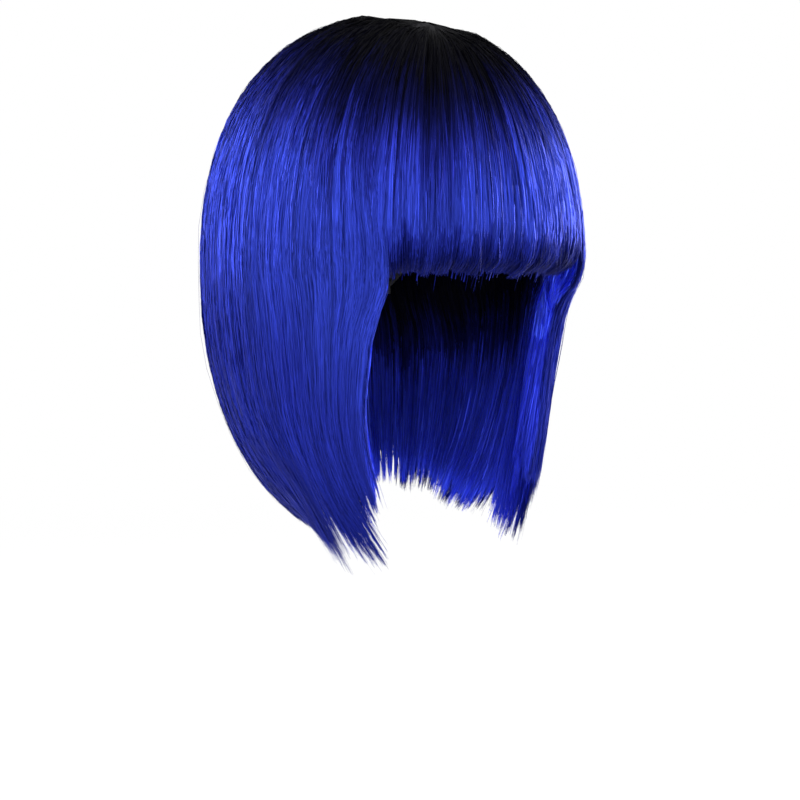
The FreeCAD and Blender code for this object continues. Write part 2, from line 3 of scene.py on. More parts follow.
import bmesh
import bpy
import numpy as np
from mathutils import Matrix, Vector


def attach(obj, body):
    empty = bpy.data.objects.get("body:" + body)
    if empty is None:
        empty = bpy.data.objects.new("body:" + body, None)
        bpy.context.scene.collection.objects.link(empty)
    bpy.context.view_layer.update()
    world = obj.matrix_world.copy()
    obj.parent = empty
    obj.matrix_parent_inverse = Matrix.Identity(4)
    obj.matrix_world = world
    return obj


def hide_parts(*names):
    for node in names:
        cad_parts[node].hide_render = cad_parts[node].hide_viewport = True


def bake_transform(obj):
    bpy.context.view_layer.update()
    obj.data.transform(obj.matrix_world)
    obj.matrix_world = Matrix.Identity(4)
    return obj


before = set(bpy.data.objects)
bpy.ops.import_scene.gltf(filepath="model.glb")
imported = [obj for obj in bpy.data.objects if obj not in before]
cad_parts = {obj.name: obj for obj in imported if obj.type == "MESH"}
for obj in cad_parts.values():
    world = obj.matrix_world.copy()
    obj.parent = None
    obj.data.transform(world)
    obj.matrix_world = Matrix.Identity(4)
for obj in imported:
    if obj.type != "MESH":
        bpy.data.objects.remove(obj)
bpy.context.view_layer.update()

# ---- Floor, backdrop and camera
# The wig is held up as on a head, at the height of the lens, over a plain pale studio floor.
# The lens stands to the wearer's right of straight ahead and looks a little down.
VIEW_TURN = math.radians(34.0)
VIEW_DISTANCE = 0.85
VIEW_HEIGHT = -0.062
VIEW_PITCH = math.radians(4.8)
VIEW_ASIDE = 0.008
LENS_LENGTH = 56.2           # millimetres, as the next
LENS_FRAME = 36.0
FLOOR_Z = -0.46
FLOOR_REACH = 9.0


def aimed_object(name, data, place, look):
    """A camera or a lamp at a place, turned to look along a direction."""
    made = bpy.data.objects.new(name, data)
    made.location = place
    made.rotation_mode = "QUATERNION"
    made.rotation_quaternion = look.to_track_quat("-Z", "Y")
    bpy.context.scene.collection.objects.link(made)
    return made


toward = Vector((math.sin(VIEW_TURN), math.cos(VIEW_TURN), 0.0))
aside = Vector((math.cos(VIEW_TURN), -math.sin(VIEW_TURN), 0.0))
lens = bpy.data.cameras.new("lens")
lens.sensor_width = LENS_FRAME
lens.lens = LENS_LENGTH
place = -toward * VIEW_DISTANCE + aside * VIEW_ASIDE + Vector((0.0, 0.0, VIEW_HEIGHT))
look = toward * math.cos(VIEW_PITCH) + Vector((0.0, 0.0, -math.sin(VIEW_PITCH)))
bpy.context.scene.camera = aimed_object("camera", lens, place, look)
bpy.context.scene.view_settings.view_transform = "Standard"


class Shade:
    """A socket of a shader tree that can be calculated with: each operator adds a Math node."""

    def __init__(self, tree, socket=None):
        self.tree = tree
        self.socket = socket

    def node(self, kind, settings=None, inputs=None, output=0):
        """Any other node: its settings first, then the values or links of its sockets."""
        made = self.tree.nodes.new(kind)
        for name, value in (settings or {}).items():
            if name == "stops":
                ramp = made.color_ramp
                while len(ramp.elements) < len(value):
                    ramp.elements.new(0.5)
                for element, (place, colour) in zip(ramp.elements, value):
                    element.position = place
                    element.color = (*colour, 1.0)
            else:
                setattr(made, name, value)
        for key, value in (inputs or {}).items():
            socket = made.inputs[key]
            if isinstance(value, Shade):
                self.tree.links.new(value.socket, socket)
            else:
                socket.default_value = (*value, 1.0) if socket.type == "RGBA" else value
        return Shade(self.tree, made.outputs[output])

    def math(self, operation, first, second=0.0):
        return self.node("ShaderNodeMath", {"operation": operation}, {0: first, 1: second})

    def __add__(self, other):
        return self.math("ADD", self, other)

    __radd__ = __add__

    def __mul__(self, other):
        return self.math("MULTIPLY", self, other)

    __rmul__ = __mul__

    def __sub__(self, other):
        return self.math("SUBTRACT", self, other)

    def __rsub__(self, other):
        return self.math("SUBTRACT", other, self)

    def __truediv__(self, other):
        return self.math("DIVIDE", self, other)

    def floor(self):
        return self.math("FLOOR", self)

    def part(self):
        return self.math("FRACT", self)

    def clear(self, low, high):
        """0 below low, 1 above high and smooth between."""
        return self.node("ShaderNodeMapRange", {"interpolation_type": "SMOOTHSTEP"},
                         {"Value": self, "From Min": low, "From Max": high})

    def mix(self, first, second):
        """A colour between two colours, by this value."""
        return self.node("ShaderNodeMix", {"data_type": "RGBA"}, {"Factor": self, 6: first, 7: second}, 2)

    def bump(self, strength, distance):
        """A shading normal, with this value as the height."""
        return self.node("ShaderNodeBump", {}, {"Strength": strength, "Distance": distance, "Height": self})

    def spot(self):
        """Where each point lies on its own piece."""
        return self.node("ShaderNodeTexCoord", output=3)

    def noise(self, scale):
        return self.node("ShaderNodeTexNoise", {}, {"Vector": self.spot(), "Scale": scale})

    def chance(self, number):
        """A number between 0 and 1 that is different for each whole number."""
        return self.node("ShaderNodeTexWhiteNoise", {"noise_dimensions": "1D"}, {"W": number})

    def own_map(self, name):
        """The two coordinates of a piece's own map."""
        split = self.node("ShaderNodeSeparateXYZ", {}, {0: self.node("ShaderNodeUVMap", {"uv_map": name})})
        return split, Shade(self.tree, split.socket.node.outputs[1])


def new_material(name, settings):
    """A material with one Principled shader and the constants that are set on its own sockets."""
    material = bpy.data.materials.new(name)
    material.use_nodes = True
    shader = material.node_tree.nodes["Principled BSDF"]
    for key, value in settings.items():
        shader.inputs[key].default_value = value
    return material, Shade(material.node_tree), shader


def feed(shader, values):
    """Links what is calculated to a shader's sockets."""
    for key, value in values.items():
        value.tree.links.new(value.socket, shader.inputs[key])


def plain_object(name, mesh):
    made = bpy.data.objects.new(name, mesh)
    bpy.context.scene.collection.objects.link(made)
    return made


floor_mesh = bpy.data.meshes.new("floor")
floor_corners = [(x * FLOOR_REACH, y * FLOOR_REACH, FLOOR_Z) for x, y in ((-1, -1), (1, -1), (1, 1), (-1, 1))]
floor_mesh.from_pydata(floor_corners, [], [(0, 1, 2, 3)])
floor = plain_object("floor", floor_mesh)
floor_paint, paint, floor_shader = new_material("floor_paint", {
    "Roughness": 0.9, "Base Color": (0.8, 0.8, 0.8, 1.0)})
floor_mesh.materials.append(floor_paint)
seen = paint.node("ShaderNodeLightPath", output="Is Camera Ray")
glow = paint.node("ShaderNodeEmission", {}, {"Color": (1.0, 1.0, 1.0), "Strength": 1.0})
away = paint.node("ShaderNodeVectorMath", {"operation": "LENGTH"}, {0: paint.spot()}, 1).clear(0.5, 1.8)
blended = paint.node("ShaderNodeMixShader", {}, {
    0: seen * (0.84 + away * 0.16), 1: Shade(paint.tree, floor_shader.outputs[0]), 2: glow})
feed(paint.tree.nodes["Material Output"], {"Surface": blended})

world = bpy.data.worlds.new("studio")
bpy.context.scene.world = world
world.use_nodes = True
sky = Shade(world.node_tree)
shown, gloss, clear = (sky.node("ShaderNodeLightPath", output=f"Is {ray} Ray")
                       for ray in ("Camera", "Glossy", "Transmission"))
backdrop = world.node_tree.nodes["Background"]
backdrop.inputs["Color"].default_value = (1.0, 1.0, 1.0, 1.0)
feed(backdrop, {"Strength": 0.55 + (shown + gloss * 0.5 + clear) * 0.45})


def soft_lamp(name, place, aim, size, power):
    """A square lamp behind a diffuser, turned to a point."""
    data = bpy.data.lights.new(name, "AREA")
    data.shape = "SQUARE"
    data.size = size
    data.energy = power
    aimed_object(name, data, place, Vector(aim) - Vector(place))


soft_lamp("front_lamp", (-0.9, -1.4, 1.3), (0.0, 0.0, -0.05), 1.2, 34.0)
soft_lamp("right_lamp", (1.7, -0.3, 0.25), (0.0, 0.0, -0.05), 0.8, 42.0)
soft_lamp("top_lamp", (0.2, 0.3, 1.6), (0.0, 0.0, 0.0), 0.7, 8.0)
soft_lamp("back_lamp", (-1.3, 1.0, 0.4), (0.0, 0.0, -0.05), 1.0, 22.0)


# ---- The lie of the hair
# Straight hair fibre, root-dyed black and blue below, sewn in rows to a cap and cut to a blunt bob.
# Each strand runs out from a short parting over the crown, then falls on the outline of the bob.
HAIR_HALF_WIDTH = 0.121
HAIR_FRONT = 0.132
HAIR_BACK = 0.126
HAIR_WIDEST = -0.048
HAIR_TOP = 0.124
HAIR_FALL = 0.187
PLAN_POWER = 2.3
FALL_POWER = 2.15
FRONT_STRAIGHT = -0.040      # the front hangs straight below this height
FRINGE_ANGLE = 40.0
FRINGE_HEM = -0.054
SIDE_BACK_ANGLE = 112.0
BACK_HEM = -0.204
PARTING_Y = -0.042
PARTING_HALF = 0.012
PARTING_SINK = 0.0035
COLUMNS = 800
STEP = 0.003


def smooth(t):
    t = np.clip(t, 0.0, 1.0)
    return t * t * (3.0 - 2.0 * t)


def bell(value, middle, width):
    return np.exp(-((value - middle) / width) ** 2)


def turn_from_front(angle):
    return np.abs((angle + 180.0) % 360.0 - 180.0)


def plan(angle, half_width, front, back, power):
    """A level outline, at angles in degrees from the front: 90 is the wearer's left."""
    sine, cosine = np.sin(np.radians(angle)), np.cos(np.radians(angle))
    x = half_width * np.sign(sine) * np.abs(sine) ** (2.0 / power)
    y = -np.where(cosine > 0, front, back) * np.sign(cosine) * np.abs(cosine) ** (2.0 / power)
    return x, y


def fall_share(angle, z, share):
    """How much of the widest outline is kept at a height: the front hangs straighter than the back."""
    front = 1.0 - smooth((turn_from_front(angle) - 50.0) / 45.0)
    curtain = 1.0 - 0.08 * smooth((FRONT_STRAIGHT - z) / 0.035) - 1.2 * np.maximum(0.0, -0.075 - z)
    return np.where(z < FRONT_STRAIGHT, share + front * (curtain - share), share)


def hem_height(angle):
    """The height of the cut: longest beside the chin, and uneven from place to place."""
    turn = turn_from_front(angle)
    drop = 0.025 * np.minimum(1.0, (180.0 - turn) / 115.0) ** 1.5
    side = BACK_HEM - drop + 0.042 * (1.0 - smooth((turn - 45.0) / 26.0))
    side = side + 0.011 * smooth((angle - 64.0) / 16.0) * smooth((190.0 - angle) / 40.0)
    side = side + 0.009 * bell(angle, 79.0, 9.0)
    side = side + 0.005 * smooth((angle - 236.0) / 12.0) * smooth((294.0 - angle) / 16.0)
    side = side + 0.009 * smooth((angle - 256.0) / 14.0) * smooth((306.0 - angle) / 10.0)
    side = side + 0.008 * bell(angle, 289.0, 9.0) + 0.0095 * bell(angle, 273.0, 12.0)
    return np.where(turn <= FRINGE_ANGLE, FRINGE_HEM, side)


def evenly_round(half_width, front, back, power, count):
    """Angles that are the same distance apart round a level outline, and that distance."""
    fine = np.linspace(0.0, 360.0, 7201)
    x, y = plan(fine, half_width, front, back, power)
    run = np.concatenate(([0.0], np.cumsum(np.hypot(np.diff(x), np.diff(y)))))
    return np.interp(np.arange(count) * run[-1] / count, run, fine), run[-1] / count


class Lie:
    """Paths of hair side by side round the head, each with a point at every few millimetres of its length."""

    def __init__(self, paths):
        runs = np.cumsum(np.linalg.norm(np.diff(paths, axis=1), axis=2), axis=1)
        runs = np.concatenate((np.zeros((len(paths), 1)), runs), axis=1)
        length = runs[:, -1]
        stations = np.arange(0.0, runs.max() + STEP, STEP)
        self.points = np.stack([
            np.stack([np.interp(stations, run, path[:, k]) for k in range(3)], axis=1)
            for run, path in zip(runs, paths)])
        down = np.gradient(self.points, axis=1)
        ended = stations[None, :] > length[:, None] - 1.5 * STEP
        for row, (over, last) in enumerate(zip(ended, np.maximum(1, (length / STEP).astype(int) - 2))):
            down[row, over] = down[row, last]
        round_way = np.roll(self.points, -1, axis=0) - np.roll(self.points, 1, axis=0)
        round_way[:, 0] = round_way[:, 1]
        out = np.cross(down, round_way)
        out = out / np.maximum(np.linalg.norm(out, axis=2, keepdims=True), 1e-12)
        centre = self.points * np.array((1.0, 1.0, 0.0)) + np.array((0.0, 0.0, 0.02))
        self.out = out * np.sign((out * centre).sum(axis=2, keepdims=True).mean(axis=1, keepdims=True))

    def where_height(self, heights):
        """How far along each path it comes down to a height."""
        found = []
        for path, height in zip(self.points, heights):
            below = np.nonzero(path[:, 2] < height)[0]
            found.append((below[0] if len(below) else path.shape[0] - 1) * STEP)
        return np.array(found)


def take(table, around, along):
    """Values of a lie's table between its columns and stations."""
    column = (around / spacing) % COLUMNS
    row = np.clip(along / STEP, 0.0, table.shape[1] - 1.001)
    i, j = np.floor(column).astype(int), np.floor(row).astype(int)
    u, v = (column - i)[..., None], (row - j)[..., None]
    n = (i + 1) % COLUMNS
    i = i % COLUMNS
    low = table[i, j] * (1 - u) + table[n, j] * u
    return low * (1 - v) + (table[i, j + 1] * (1 - u) + table[n, j + 1] * u) * v


angles, spacing = evenly_round(HAIR_HALF_WIDTH, HAIR_FRONT, HAIR_BACK, PLAN_POWER, COLUMNS)
column_at = np.arange(COLUMNS + 1) * spacing
rim = np.stack(plan(angles, HAIR_HALF_WIDTH, HAIR_FRONT, HAIR_BACK, PLAN_POWER), axis=1)
parting = np.stack((0.003 * np.sin(np.radians(angles)),
                    PARTING_Y - PARTING_HALF * np.cos(np.radians(angles))), axis=1)
over = np.sin(np.linspace(0.0, math.pi / 2, 70))[None, :, None]
crown_plan = parting[:, None, :] + (rim - parting)[:, None, :] * over
reach = np.where(crown_plan[..., 1] < 0, HAIR_FRONT, HAIR_BACK)
share = (np.abs(crown_plan[..., 0] / HAIR_HALF_WIDTH) ** PLAN_POWER
         + np.abs(crown_plan[..., 1] / reach) ** PLAN_POWER) ** (1 / PLAN_POWER)
dome_share = np.maximum(0.0, 1 - share ** PLAN_POWER) ** (1 / PLAN_POWER)
crown_z = HAIR_WIDEST + (HAIR_TOP - PARTING_SINK - HAIR_WIDEST) * dome_share
crown_plan = crown_plan * fall_share(angles[:, None], crown_z, 1.0)[..., None]
fall_z = HAIR_WIDEST - HAIR_FALL * np.linspace(0.01, 0.995, 93)
drop = ((HAIR_WIDEST - fall_z) / HAIR_FALL) ** FALL_POWER
kept = fall_share(angles[:, None], fall_z[None, :], ((1 - drop) ** (1 / FALL_POWER))[None, :])
fall_plan = rim[:, None, :] * kept[..., None]
top_hair = Lie(np.concatenate((
    np.concatenate((crown_plan, crown_z[..., None]), axis=2),
    np.concatenate((fall_plan, np.broadcast_to(fall_z, kept.shape)[..., None]), axis=2)), axis=1))


def around_at(angle):
    """Distance round the widest level to an angle."""
    return np.interp(angle % 360.0, np.append(angles, 360.0), column_at)


def value_round(table, place):
    """A table's value, one for each column, at distances round."""
    return np.interp(place % GIRTH, column_at, np.append(table, table[0]))


GIRTH = COLUMNS * spacing
LEFT_EDGE, RIGHT_EDGE = around_at(FRINGE_ANGLE), around_at(-FRINGE_ANGLE)
EDGE_BACK = around_at(45.0) - around_at(FRINGE_ANGLE)
EDGE_ROUND = 0.0095
LEFT_TURNED = (0.028, 1.15)  # how far in from the edge its strands turn, and by what angle
RIGHT_TURNED = (EDGE_ROUND, -1.4)
LAYER = 0.0107               # the depth at which hair at a rounded edge isn't tucked any further
LEFT_SWEEP = 0.012
RIGHT_SWEEP = ((0.0, 0.045), (0.02, 0.070), (0.05, 0.084), (0.075, 0.100), (0.096, 0.124), (0.115, 0.122),
               (0.130, 0.110), (0.146, 0.088), (0.170, 0.058), (0.26, 0.0))
LOCK_WIDTH = 0.0085
hem_heights = hem_height(angles)


def lock_of(place):
    """The lock that hair at a place falls in, and how far across the lock it is: -0.5 to 0.5."""
    warped = (place + 0.002 * np.sin(173.0 * place) + 0.001 * np.sin(411.0 * place)) / LOCK_WIDTH
    number = np.floor(warped)
    return number, warped - number - 0.5


def face_edge(place, height):
    """A curtain's front edge draws back under the fringe, and the hair behind it sweeps forward below."""
    left = place < GIRTH / 2
    draw_back = EDGE_BACK * smooth((FRINGE_HEM - height) / 0.035)
    from_edge = np.where(left, place - LEFT_EDGE, RIGHT_EDGE - place)
    forward = 0.009 * smooth((0.03 - height) / 0.07) * (1.0 - smooth((-0.065 - height) / 0.085))
    behind = 0.020 * smooth((FRINGE_HEM - height) / 0.035) * (1.0 - smooth((-0.11 - height) / 0.08))
    moved = np.where(left, draw_back * (1.0 - np.clip(from_edge / 0.05, 0.0, 1.0))
                     + behind * (1.0 - np.clip(from_edge / 0.08, 0.0, 1.0)),
                     (draw_back - forward) * (1.0 - np.clip(from_edge / 0.05, 0.0, 1.0)))
    low = np.maximum(0.0, np.where(left, (-0.100 - height) / 0.13, (-0.125 - height) / 0.105)) ** 2.5
    left_sweep = LEFT_SWEEP * smooth(from_edge / 0.06) * (1.0 - smooth((from_edge - 0.16) / 0.10))
    swept = low * np.where(left, left_sweep, np.interp(from_edge, *np.array(RIGHT_SWEEP).T))
    cut = np.interp(place % GIRTH, column_at[:-1], hem_heights)
    pull = np.where(left, 0.62 - 0.25 * smooth((from_edge - 0.15) / 0.05), 0.30)
    gathered = LOCK_WIDTH * pull * lock_of(place)[1] * smooth((cut + 0.045 - height) / 0.045)
    return place + np.where(left, moved - swept, swept - moved) - gathered


def dye_stretch(place):
    """The root dye was brushed on further down in some places than in others."""
    turn = (np.interp(place % GIRTH, column_at[:-1], angles) + 180.0) % 360.0 - 180.0
    return 1.12 + 0.24 * bell(turn, 38.0, 42.0) - 0.18 * bell(turn, -30.0, 30.0)


def comb_strands(lie, draw, around, start, end, depth, stations, cling=0.5, lock=0.007, root_sink=0.004,
                 wave=0.0005, slant=0.004, tip_in=0.0, roll=24.0, bow=0.0, inward=False, edge=None):
    """Strands combed along a lie of hair: their points, the way they face and how far along each point is."""
    count = len(around)
    share = np.linspace(0.0, 1.0, stations)[None, :]
    along = start[:, None] + (end - start)[:, None] * share
    lock_number = np.floor(around / lock).astype(int)
    from_first = lock_number - lock_number.min()
    jitter = draw.uniform(-0.25, 0.25, from_first.max() + 1)[from_first]
    centre = (lock_number + 0.5 + jitter) * lock
    pull = cling * draw.uniform(0.3, 1.0, count)[:, None] * smooth(share * 1.2 - 0.2)
    place = around[:, None] + (centre - around)[:, None] * pull
    lean = draw.normal(0.0, slant, count)[:, None]
    place = place + lean * (along - along.mean(axis=1, keepdims=True)) / 0.2
    phase = draw.uniform(0.0, 2 * math.pi, count)[:, None]
    swing = draw.uniform(0.07, 0.16, count)[:, None]
    place = place + wave * np.sin(2 * math.pi * along / swing + phase)
    inset = depth[:, None] + root_sink * (1 - smooth((along - start[:, None]) / 0.03))
    inset = inset + wave * 0.8 * np.sin(2 * math.pi * along / swing * 1.3 + phase * 2)
    inset = inset + tip_in * np.clip((along - end[:, None]) / 0.032 + 1.0, 0.0, 1.0) ** 2
    bowed = draw.exponential(bow, count)[:, None]
    inset = inset - bowed * np.sin(math.pi * share ** draw.uniform(0.7, 2.0)) ** 2
    turned = draw.normal(0.0, math.radians(roll), count)[:, None, None]
    if edge is not None:
        height = take(lie.points, place, along)[..., 2]
        place = edge(place, height)
        left = place < GIRTH / 2
        from_edge = np.abs(place - edge(np.where(left, LEFT_EDGE, RIGHT_EDGE), height))
        below = smooth((FRINGE_HEM + 0.004 - height) / 0.02)
        near = np.clip(1.0 - from_edge / EDGE_ROUND, 0.0, 1.0) * below
        tuck = EDGE_ROUND * (1.0 - np.sqrt(1.0 - near ** 2))
        inset = inset - tuck * (1.0 + inset / LAYER) if inward else inset + tuck * (1.0 - inset / LAYER)
        zone, turn = (np.where(left, *pair) for pair in zip(LEFT_TURNED, RIGHT_TURNED))
        rounding = np.clip(1.0 - from_edge / zone, 0.0, 1.0)
        rounding = rounding * below * draw.uniform(0.45, 1.0, count)[:, None]
        turn = turn * rounding
        turned = turned + (-turn if inward else turn)[..., None]
    out = take(lie.out, place, along)
    points = take(lie.points, place, along) - out * inset[..., None]
    if inward:
        out = -out
    tangent = np.gradient(points, axis=1)
    tangent /= np.maximum(np.linalg.norm(tangent, axis=2, keepdims=True), 1e-12)
    side = np.cross(tangent, out)
    facing = out * np.cos(turned) + side * np.sin(turned)
    return points, facing, along * dye_stretch(around)[:, None]


class Tree:
    """A Geometry Nodes tree with its sockets named for the sizes they hold."""

    def __init__(self, name, inputs):
        self.tree = bpy.data.node_groups.new(name, "GeometryNodeTree")
        self.tree.interface.new_socket("Lines", in_out="INPUT", socket_type="NodeSocketGeometry")
        for key, kind, value in inputs:
            socket = self.tree.interface.new_socket(key, in_out="INPUT", socket_type="NodeSocket" + kind)
            if value is not None:
                socket.default_value = value
        self.tree.interface.new_socket("Made", in_out="OUTPUT", socket_type="NodeSocketGeometry")
        self.given = self.tree.nodes.new("NodeGroupInput").outputs
        self.result = self.tree.nodes.new("NodeGroupOutput").inputs

    def add(self, kind, settings=None, output=0, **inputs):
        """A node: its settings, then the values or links of its sockets, by name or as _0, _1 by place."""
        made = self.tree.nodes.new(kind)
        for key, value in (settings or {}).items():
            setattr(made, key, value)
        for key, value in inputs.items():
            socket = made.inputs[int(key[1:]) if key[0] == "_" else key.replace("_", " ")]
            if isinstance(value, bpy.types.NodeSocket):
                self.tree.links.new(value, socket)
            else:
                socket.default_value = value
        return made.outputs[output]

    def calc(self, operation, first, second):
        return self.add("ShaderNodeMath", {"operation": operation}, _0=first, _1=second)

    def named(self, name, kind="FLOAT"):
        return self.add("GeometryNodeInputNamedAttribute", {"data_type": kind}, Name=name)

    def store(self, name, kind, domain, geometry, value):
        """The geometry with a value kept on it under a name."""
        return self.add("GeometryNodeStoreNamedAttribute", {"data_type": kind, "domain": domain},
                        Geometry=geometry, Name=name, Value=value)

    def faced_lines(self):
        """The given lines as curves, turned the way that each point faces."""
        curve = self.add("GeometryNodeMeshToCurve", Mesh=self.given["Lines"])
        return self.add("GeometryNodeSetCurveNormal", {"mode": "FREE"}, Curve=curve,
                        Normal=self.named("facing", "FLOAT_VECTOR"))

    def close(self, geometry, material):
        real = self.add("GeometryNodeRealizeInstances", _0=geometry)
        done = self.add("GeometryNodeSetMaterial", Geometry=real, Material=material)
        self.tree.links.new(done, self.result[0])
        return self.tree


FIBRE_WIDTH = 0.0005
TONES = 256.0
TIP_TAPER = (0.85, 0.6, 0.22)
HAIR_LENGTH = 0.60           # the length that fills a hair piece's map
DYED_LENGTH = 0.42           # the length that the dye's colours are spread over


def ribbon_tree():
    """Turns each strand's line into a flat fibre ribbon, with its tone and its length on its map."""
    t = Tree("fibre_ribbons", (("Fibre width", "Float", FIBRE_WIDTH), ("Tones", "Float", TONES),
                               ("Hair", "Material", None)))
    line = t.add("GeometryNodeCurvePrimitiveLine", Start=(0.0, -0.5, 0.0), End=(0.0, 0.5, 0.0))
    line = t.store("across", "FLOAT", "POINT", line, t.add("GeometryNodeInputIndex"))
    ribbon = t.add("GeometryNodeCurveToMesh", Curve=t.faced_lines(), Profile_Curve=line,
                   Scale=t.calc("MULTIPLY", t.named("thin"), t.given["Fibre width"]))
    tone = t.calc("DIVIDE", t.calc("ADD", t.named("tone"), t.named("across")), t.given["Tones"])
    spot = t.add("ShaderNodeCombineXYZ", X=tone, Y=t.named("along"))
    return t.close(t.store("OFBake", "FLOAT2", "CORNER", ribbon, spot), t.given["Hair"])


fibre_ribbons = ribbon_tree()


def line_mesh(name, vertices, edges, values):
    """Open lines as one mesh of edges whose points carry named values."""
    vertices, edges = np.concatenate(vertices), np.concatenate(edges)
    mesh = bpy.data.meshes.new(name)
    mesh.vertices.add(len(vertices))
    mesh.vertices.foreach_set("co", vertices.ravel())
    mesh.edges.add(len(edges))
    mesh.edges.foreach_set("vertices", edges.ravel())
    for key, parts in values.items():
        value = np.concatenate(parts)
        kind, field = ("FLOAT_VECTOR", "vector") if value.ndim == 2 else ("FLOAT", "value")
        mesh.attributes.new(key, kind, "POINT").data.foreach_set(field, value.ravel())
    mesh.update()
    return plain_object(name, mesh)


def put_modifier(piece, tree, values):
    """A tree on a piece, its inputs set by their identifiers, and the result as a plain mesh."""
    modifier = piece.modifiers.new(tree.name, "NODES")
    modifier.node_group = tree
    for socket in tree.interface.items_tree:
        if socket.item_type == "SOCKET" and socket.in_out == "INPUT" and socket.name in values:
            modifier[socket.identifier] = values[socket.name]
    evaluated = piece.evaluated_get(bpy.context.evaluated_depsgraph_get())
    mesh = bpy.data.meshes.new_from_object(evaluated)
    piece.modifiers.remove(modifier)
    old = piece.data
    piece.data = mesh
    mesh.name = piece.name
    bpy.data.meshes.remove(old)
    return piece


def dress(piece, slot, *nodes, body="root"):
    """A piece's slot, which is not used, the body that carries it and the CAD nodes that it is shown for."""
    if body:
        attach(piece, body)
    if nodes:
        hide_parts(*nodes)


def hair_piece(name, groups, material, *nodes):
    """One piece of hair from groups of strands: (points, facing, along, tones, width)."""
    vertices, edges, values, base = [], [], {"facing": [], "along": [], "tone": [], "thin": []}, 0
    for points, facing, along, tone, width in groups:
        count, stations = points.shape[:2]
        index = base + np.arange(count * stations).reshape(count, stations)
        taper = np.ones(stations)
        taper[-3:] = TIP_TAPER
        vertices.append(points.reshape(-1, 3))
        edges.append(np.stack((index[:, :-1].ravel(), index[:, 1:].ravel()), axis=1))
        values["facing"].append(facing.reshape(-1, 3))
        values["along"].append((along / HAIR_LENGTH).ravel())
        values["tone"].append(np.repeat(tone, stations))
        values["thin"].append((width[:, None] * taper[None, :]).ravel() / FIBRE_WIDTH)
        base += count * stations
    piece = put_modifier(line_mesh(name, vertices, edges, values), fibre_ribbons,
                         {"Fibre width": FIBRE_WIDTH, "Tones": TONES, "Hair": material})
    mesh = piece.data
    mesh.uv_layers.active = mesh.uv_layers["OFBake"]
    for key in (*values, "across"):
        if key in mesh.attributes:
            mesh.attributes.remove(mesh.attributes[key])
    mesh.shade_smooth()
    dress(piece, "blue_hair", *nodes)


def hair_material(name, shift, bright):
    """Dyed fibre: black roots fading through navy to royal blue, no two strands quite alike; painted glint
    and shade.
    """
    material, hair, shader = new_material(name, {"IOR": 1.5, "Specular IOR Level": 0.012})
    across, down = hair.own_map("OFBake")
    tone = (across * TONES).floor()
    along = down * (HAIR_LENGTH / DYED_LENGTH)
    one, other = hair.chance(tone), hair.chance(tone + 91.7)
    by_lock = hair.chance((tone / 8.0).floor() + 500.3)
    dyed = along + (one - 0.5) * 0.06 + (by_lock - 0.5) * 0.06 + shift
    # The darkest last stop is painted shade, reached mostly on the fringe's rolled tips.
    # The grey first stop is a painted glint at the very roots, by the parting; past full blue the colour
    # darkens towards the tips.
    colour = hair.node("ShaderNodeValToRGB", {"stops": (
        (0.0, (0.012, 0.012, 0.014)), (0.035, (0.0010, 0.0010, 0.0016)), (0.12, (0.0012, 0.0012, 0.004)),
        (0.18, (0.003, 0.004, 0.045)), (0.23, (0.011, 0.016, 0.21)), (0.30, (0.028, 0.050, 0.48)),
        (0.40, (0.028, 0.050, 0.48)), (0.52, (0.017, 0.028, 0.335)), (0.72, (0.013, 0.022, 0.28)),
        (0.94, (0.013, 0.022, 0.28)), (1.0, (0.003, 0.005, 0.075)))}, {"Fac": dyed / 1.4})
    light = bright * (0.46 + other * 0.76 + by_lock * 0.32)
    value = hair.node("ShaderNodeCombineColor", {}, {0: light, 1: light, 2: light})
    shaded = hair.node("ShaderNodeMix", {"data_type": "RGBA", "blend_type": "MULTIPLY"},
                       {"Factor": 1.0, 6: colour, 7: value}, 2)
    coloured = dyed.clear(0.18, 0.36)
    feed(shader, {"Base Color": shaded, "Roughness": 0.50 + one * 0.14 - coloured * 0.14,
                  "Metallic": coloured * (0.35 + other * 0.3)})
    return material


blue_hair = hair_material("blue_hair", -0.01, 0.95)
# The same fibre for the under hair, painted far lighter as painted light, its black roots run lower as
# painted shade.
under_hair_painted_light_and_shade = hair_material("under_hair_painted_light_and_shade", -0.09, 2.3)


def tones(draw, around, lock=0.0026):
    """A tone for each strand: the lock that it lies in picks one of 32 groups of 8."""
    number = np.floor(around / lock).astype(int)
    return (number * 13 + (number // 3) * 7) % 32 * 8 + draw.integers(0, 8, len(around)) + 0.0


# ---- Outer hair: fringe, curtains and back
# The top rows of hair lie over all the others. They hide the cap and give the bob its outline.
# Fine flat locks lie close under loose strands, as combed hair does, and a few hairs stand away.
UNEVEN = 0.004               # how uneven the scissors left the curtains and the back
FRINGE_UNEVEN = 0.0010
FRINGE_LINING_UNEVEN = 0.0012
FRINGE_ROLL = 0.013
LONGER = 0.003               # how far the longest tips pass the cut
LYING = {"cling": 0.0, "root_sink": 0.0, "wave": 0.0002, "slant": 0.0005, "roll": 8.0}
CURTAINS = (("left", FRINGE_ANGLE, SIDE_BACK_ANGLE), ("right", -SIDE_BACK_ANGLE, -FRINGE_ANGLE))
top_hem = top_hair.where_height(hem_height(angles))
top_ear = top_hair.where_height(np.full(COLUMNS, -0.030))


def span(first_angle, last_angle):
    low, high = around_at(first_angle), around_at(last_angle)
    return low, high if high > low else high + GIRTH


def ragged_cut(draw, around, end, spread, longer=LONGER):
    """Lock by lock, the scissors leave the tips a little uneven, and each lock ends in a soft point."""
    number, across_lock = lock_of(around)
    number = number.astype(int) - int(number.min())
    by_lock = draw.normal(0.0, spread, number.max() + 1)[number]
    point = spread * 9.0 * across_lock ** 2
    thinned = spread > 0.002
    from_edge = RIGHT_EDGE - around
    wisps = np.where(from_edge > 0.0, np.exp(-(from_edge / 0.075) ** 4), 0.0) * thinned
    gap = 0.036 * bell(from_edge, 0.082, 0.008) * (draw.random(len(around)) < 0.6) * thinned
    return end + longer + by_lock - point - gap - draw.exponential(spread * 2.4 + 0.013 * wisps, len(around))


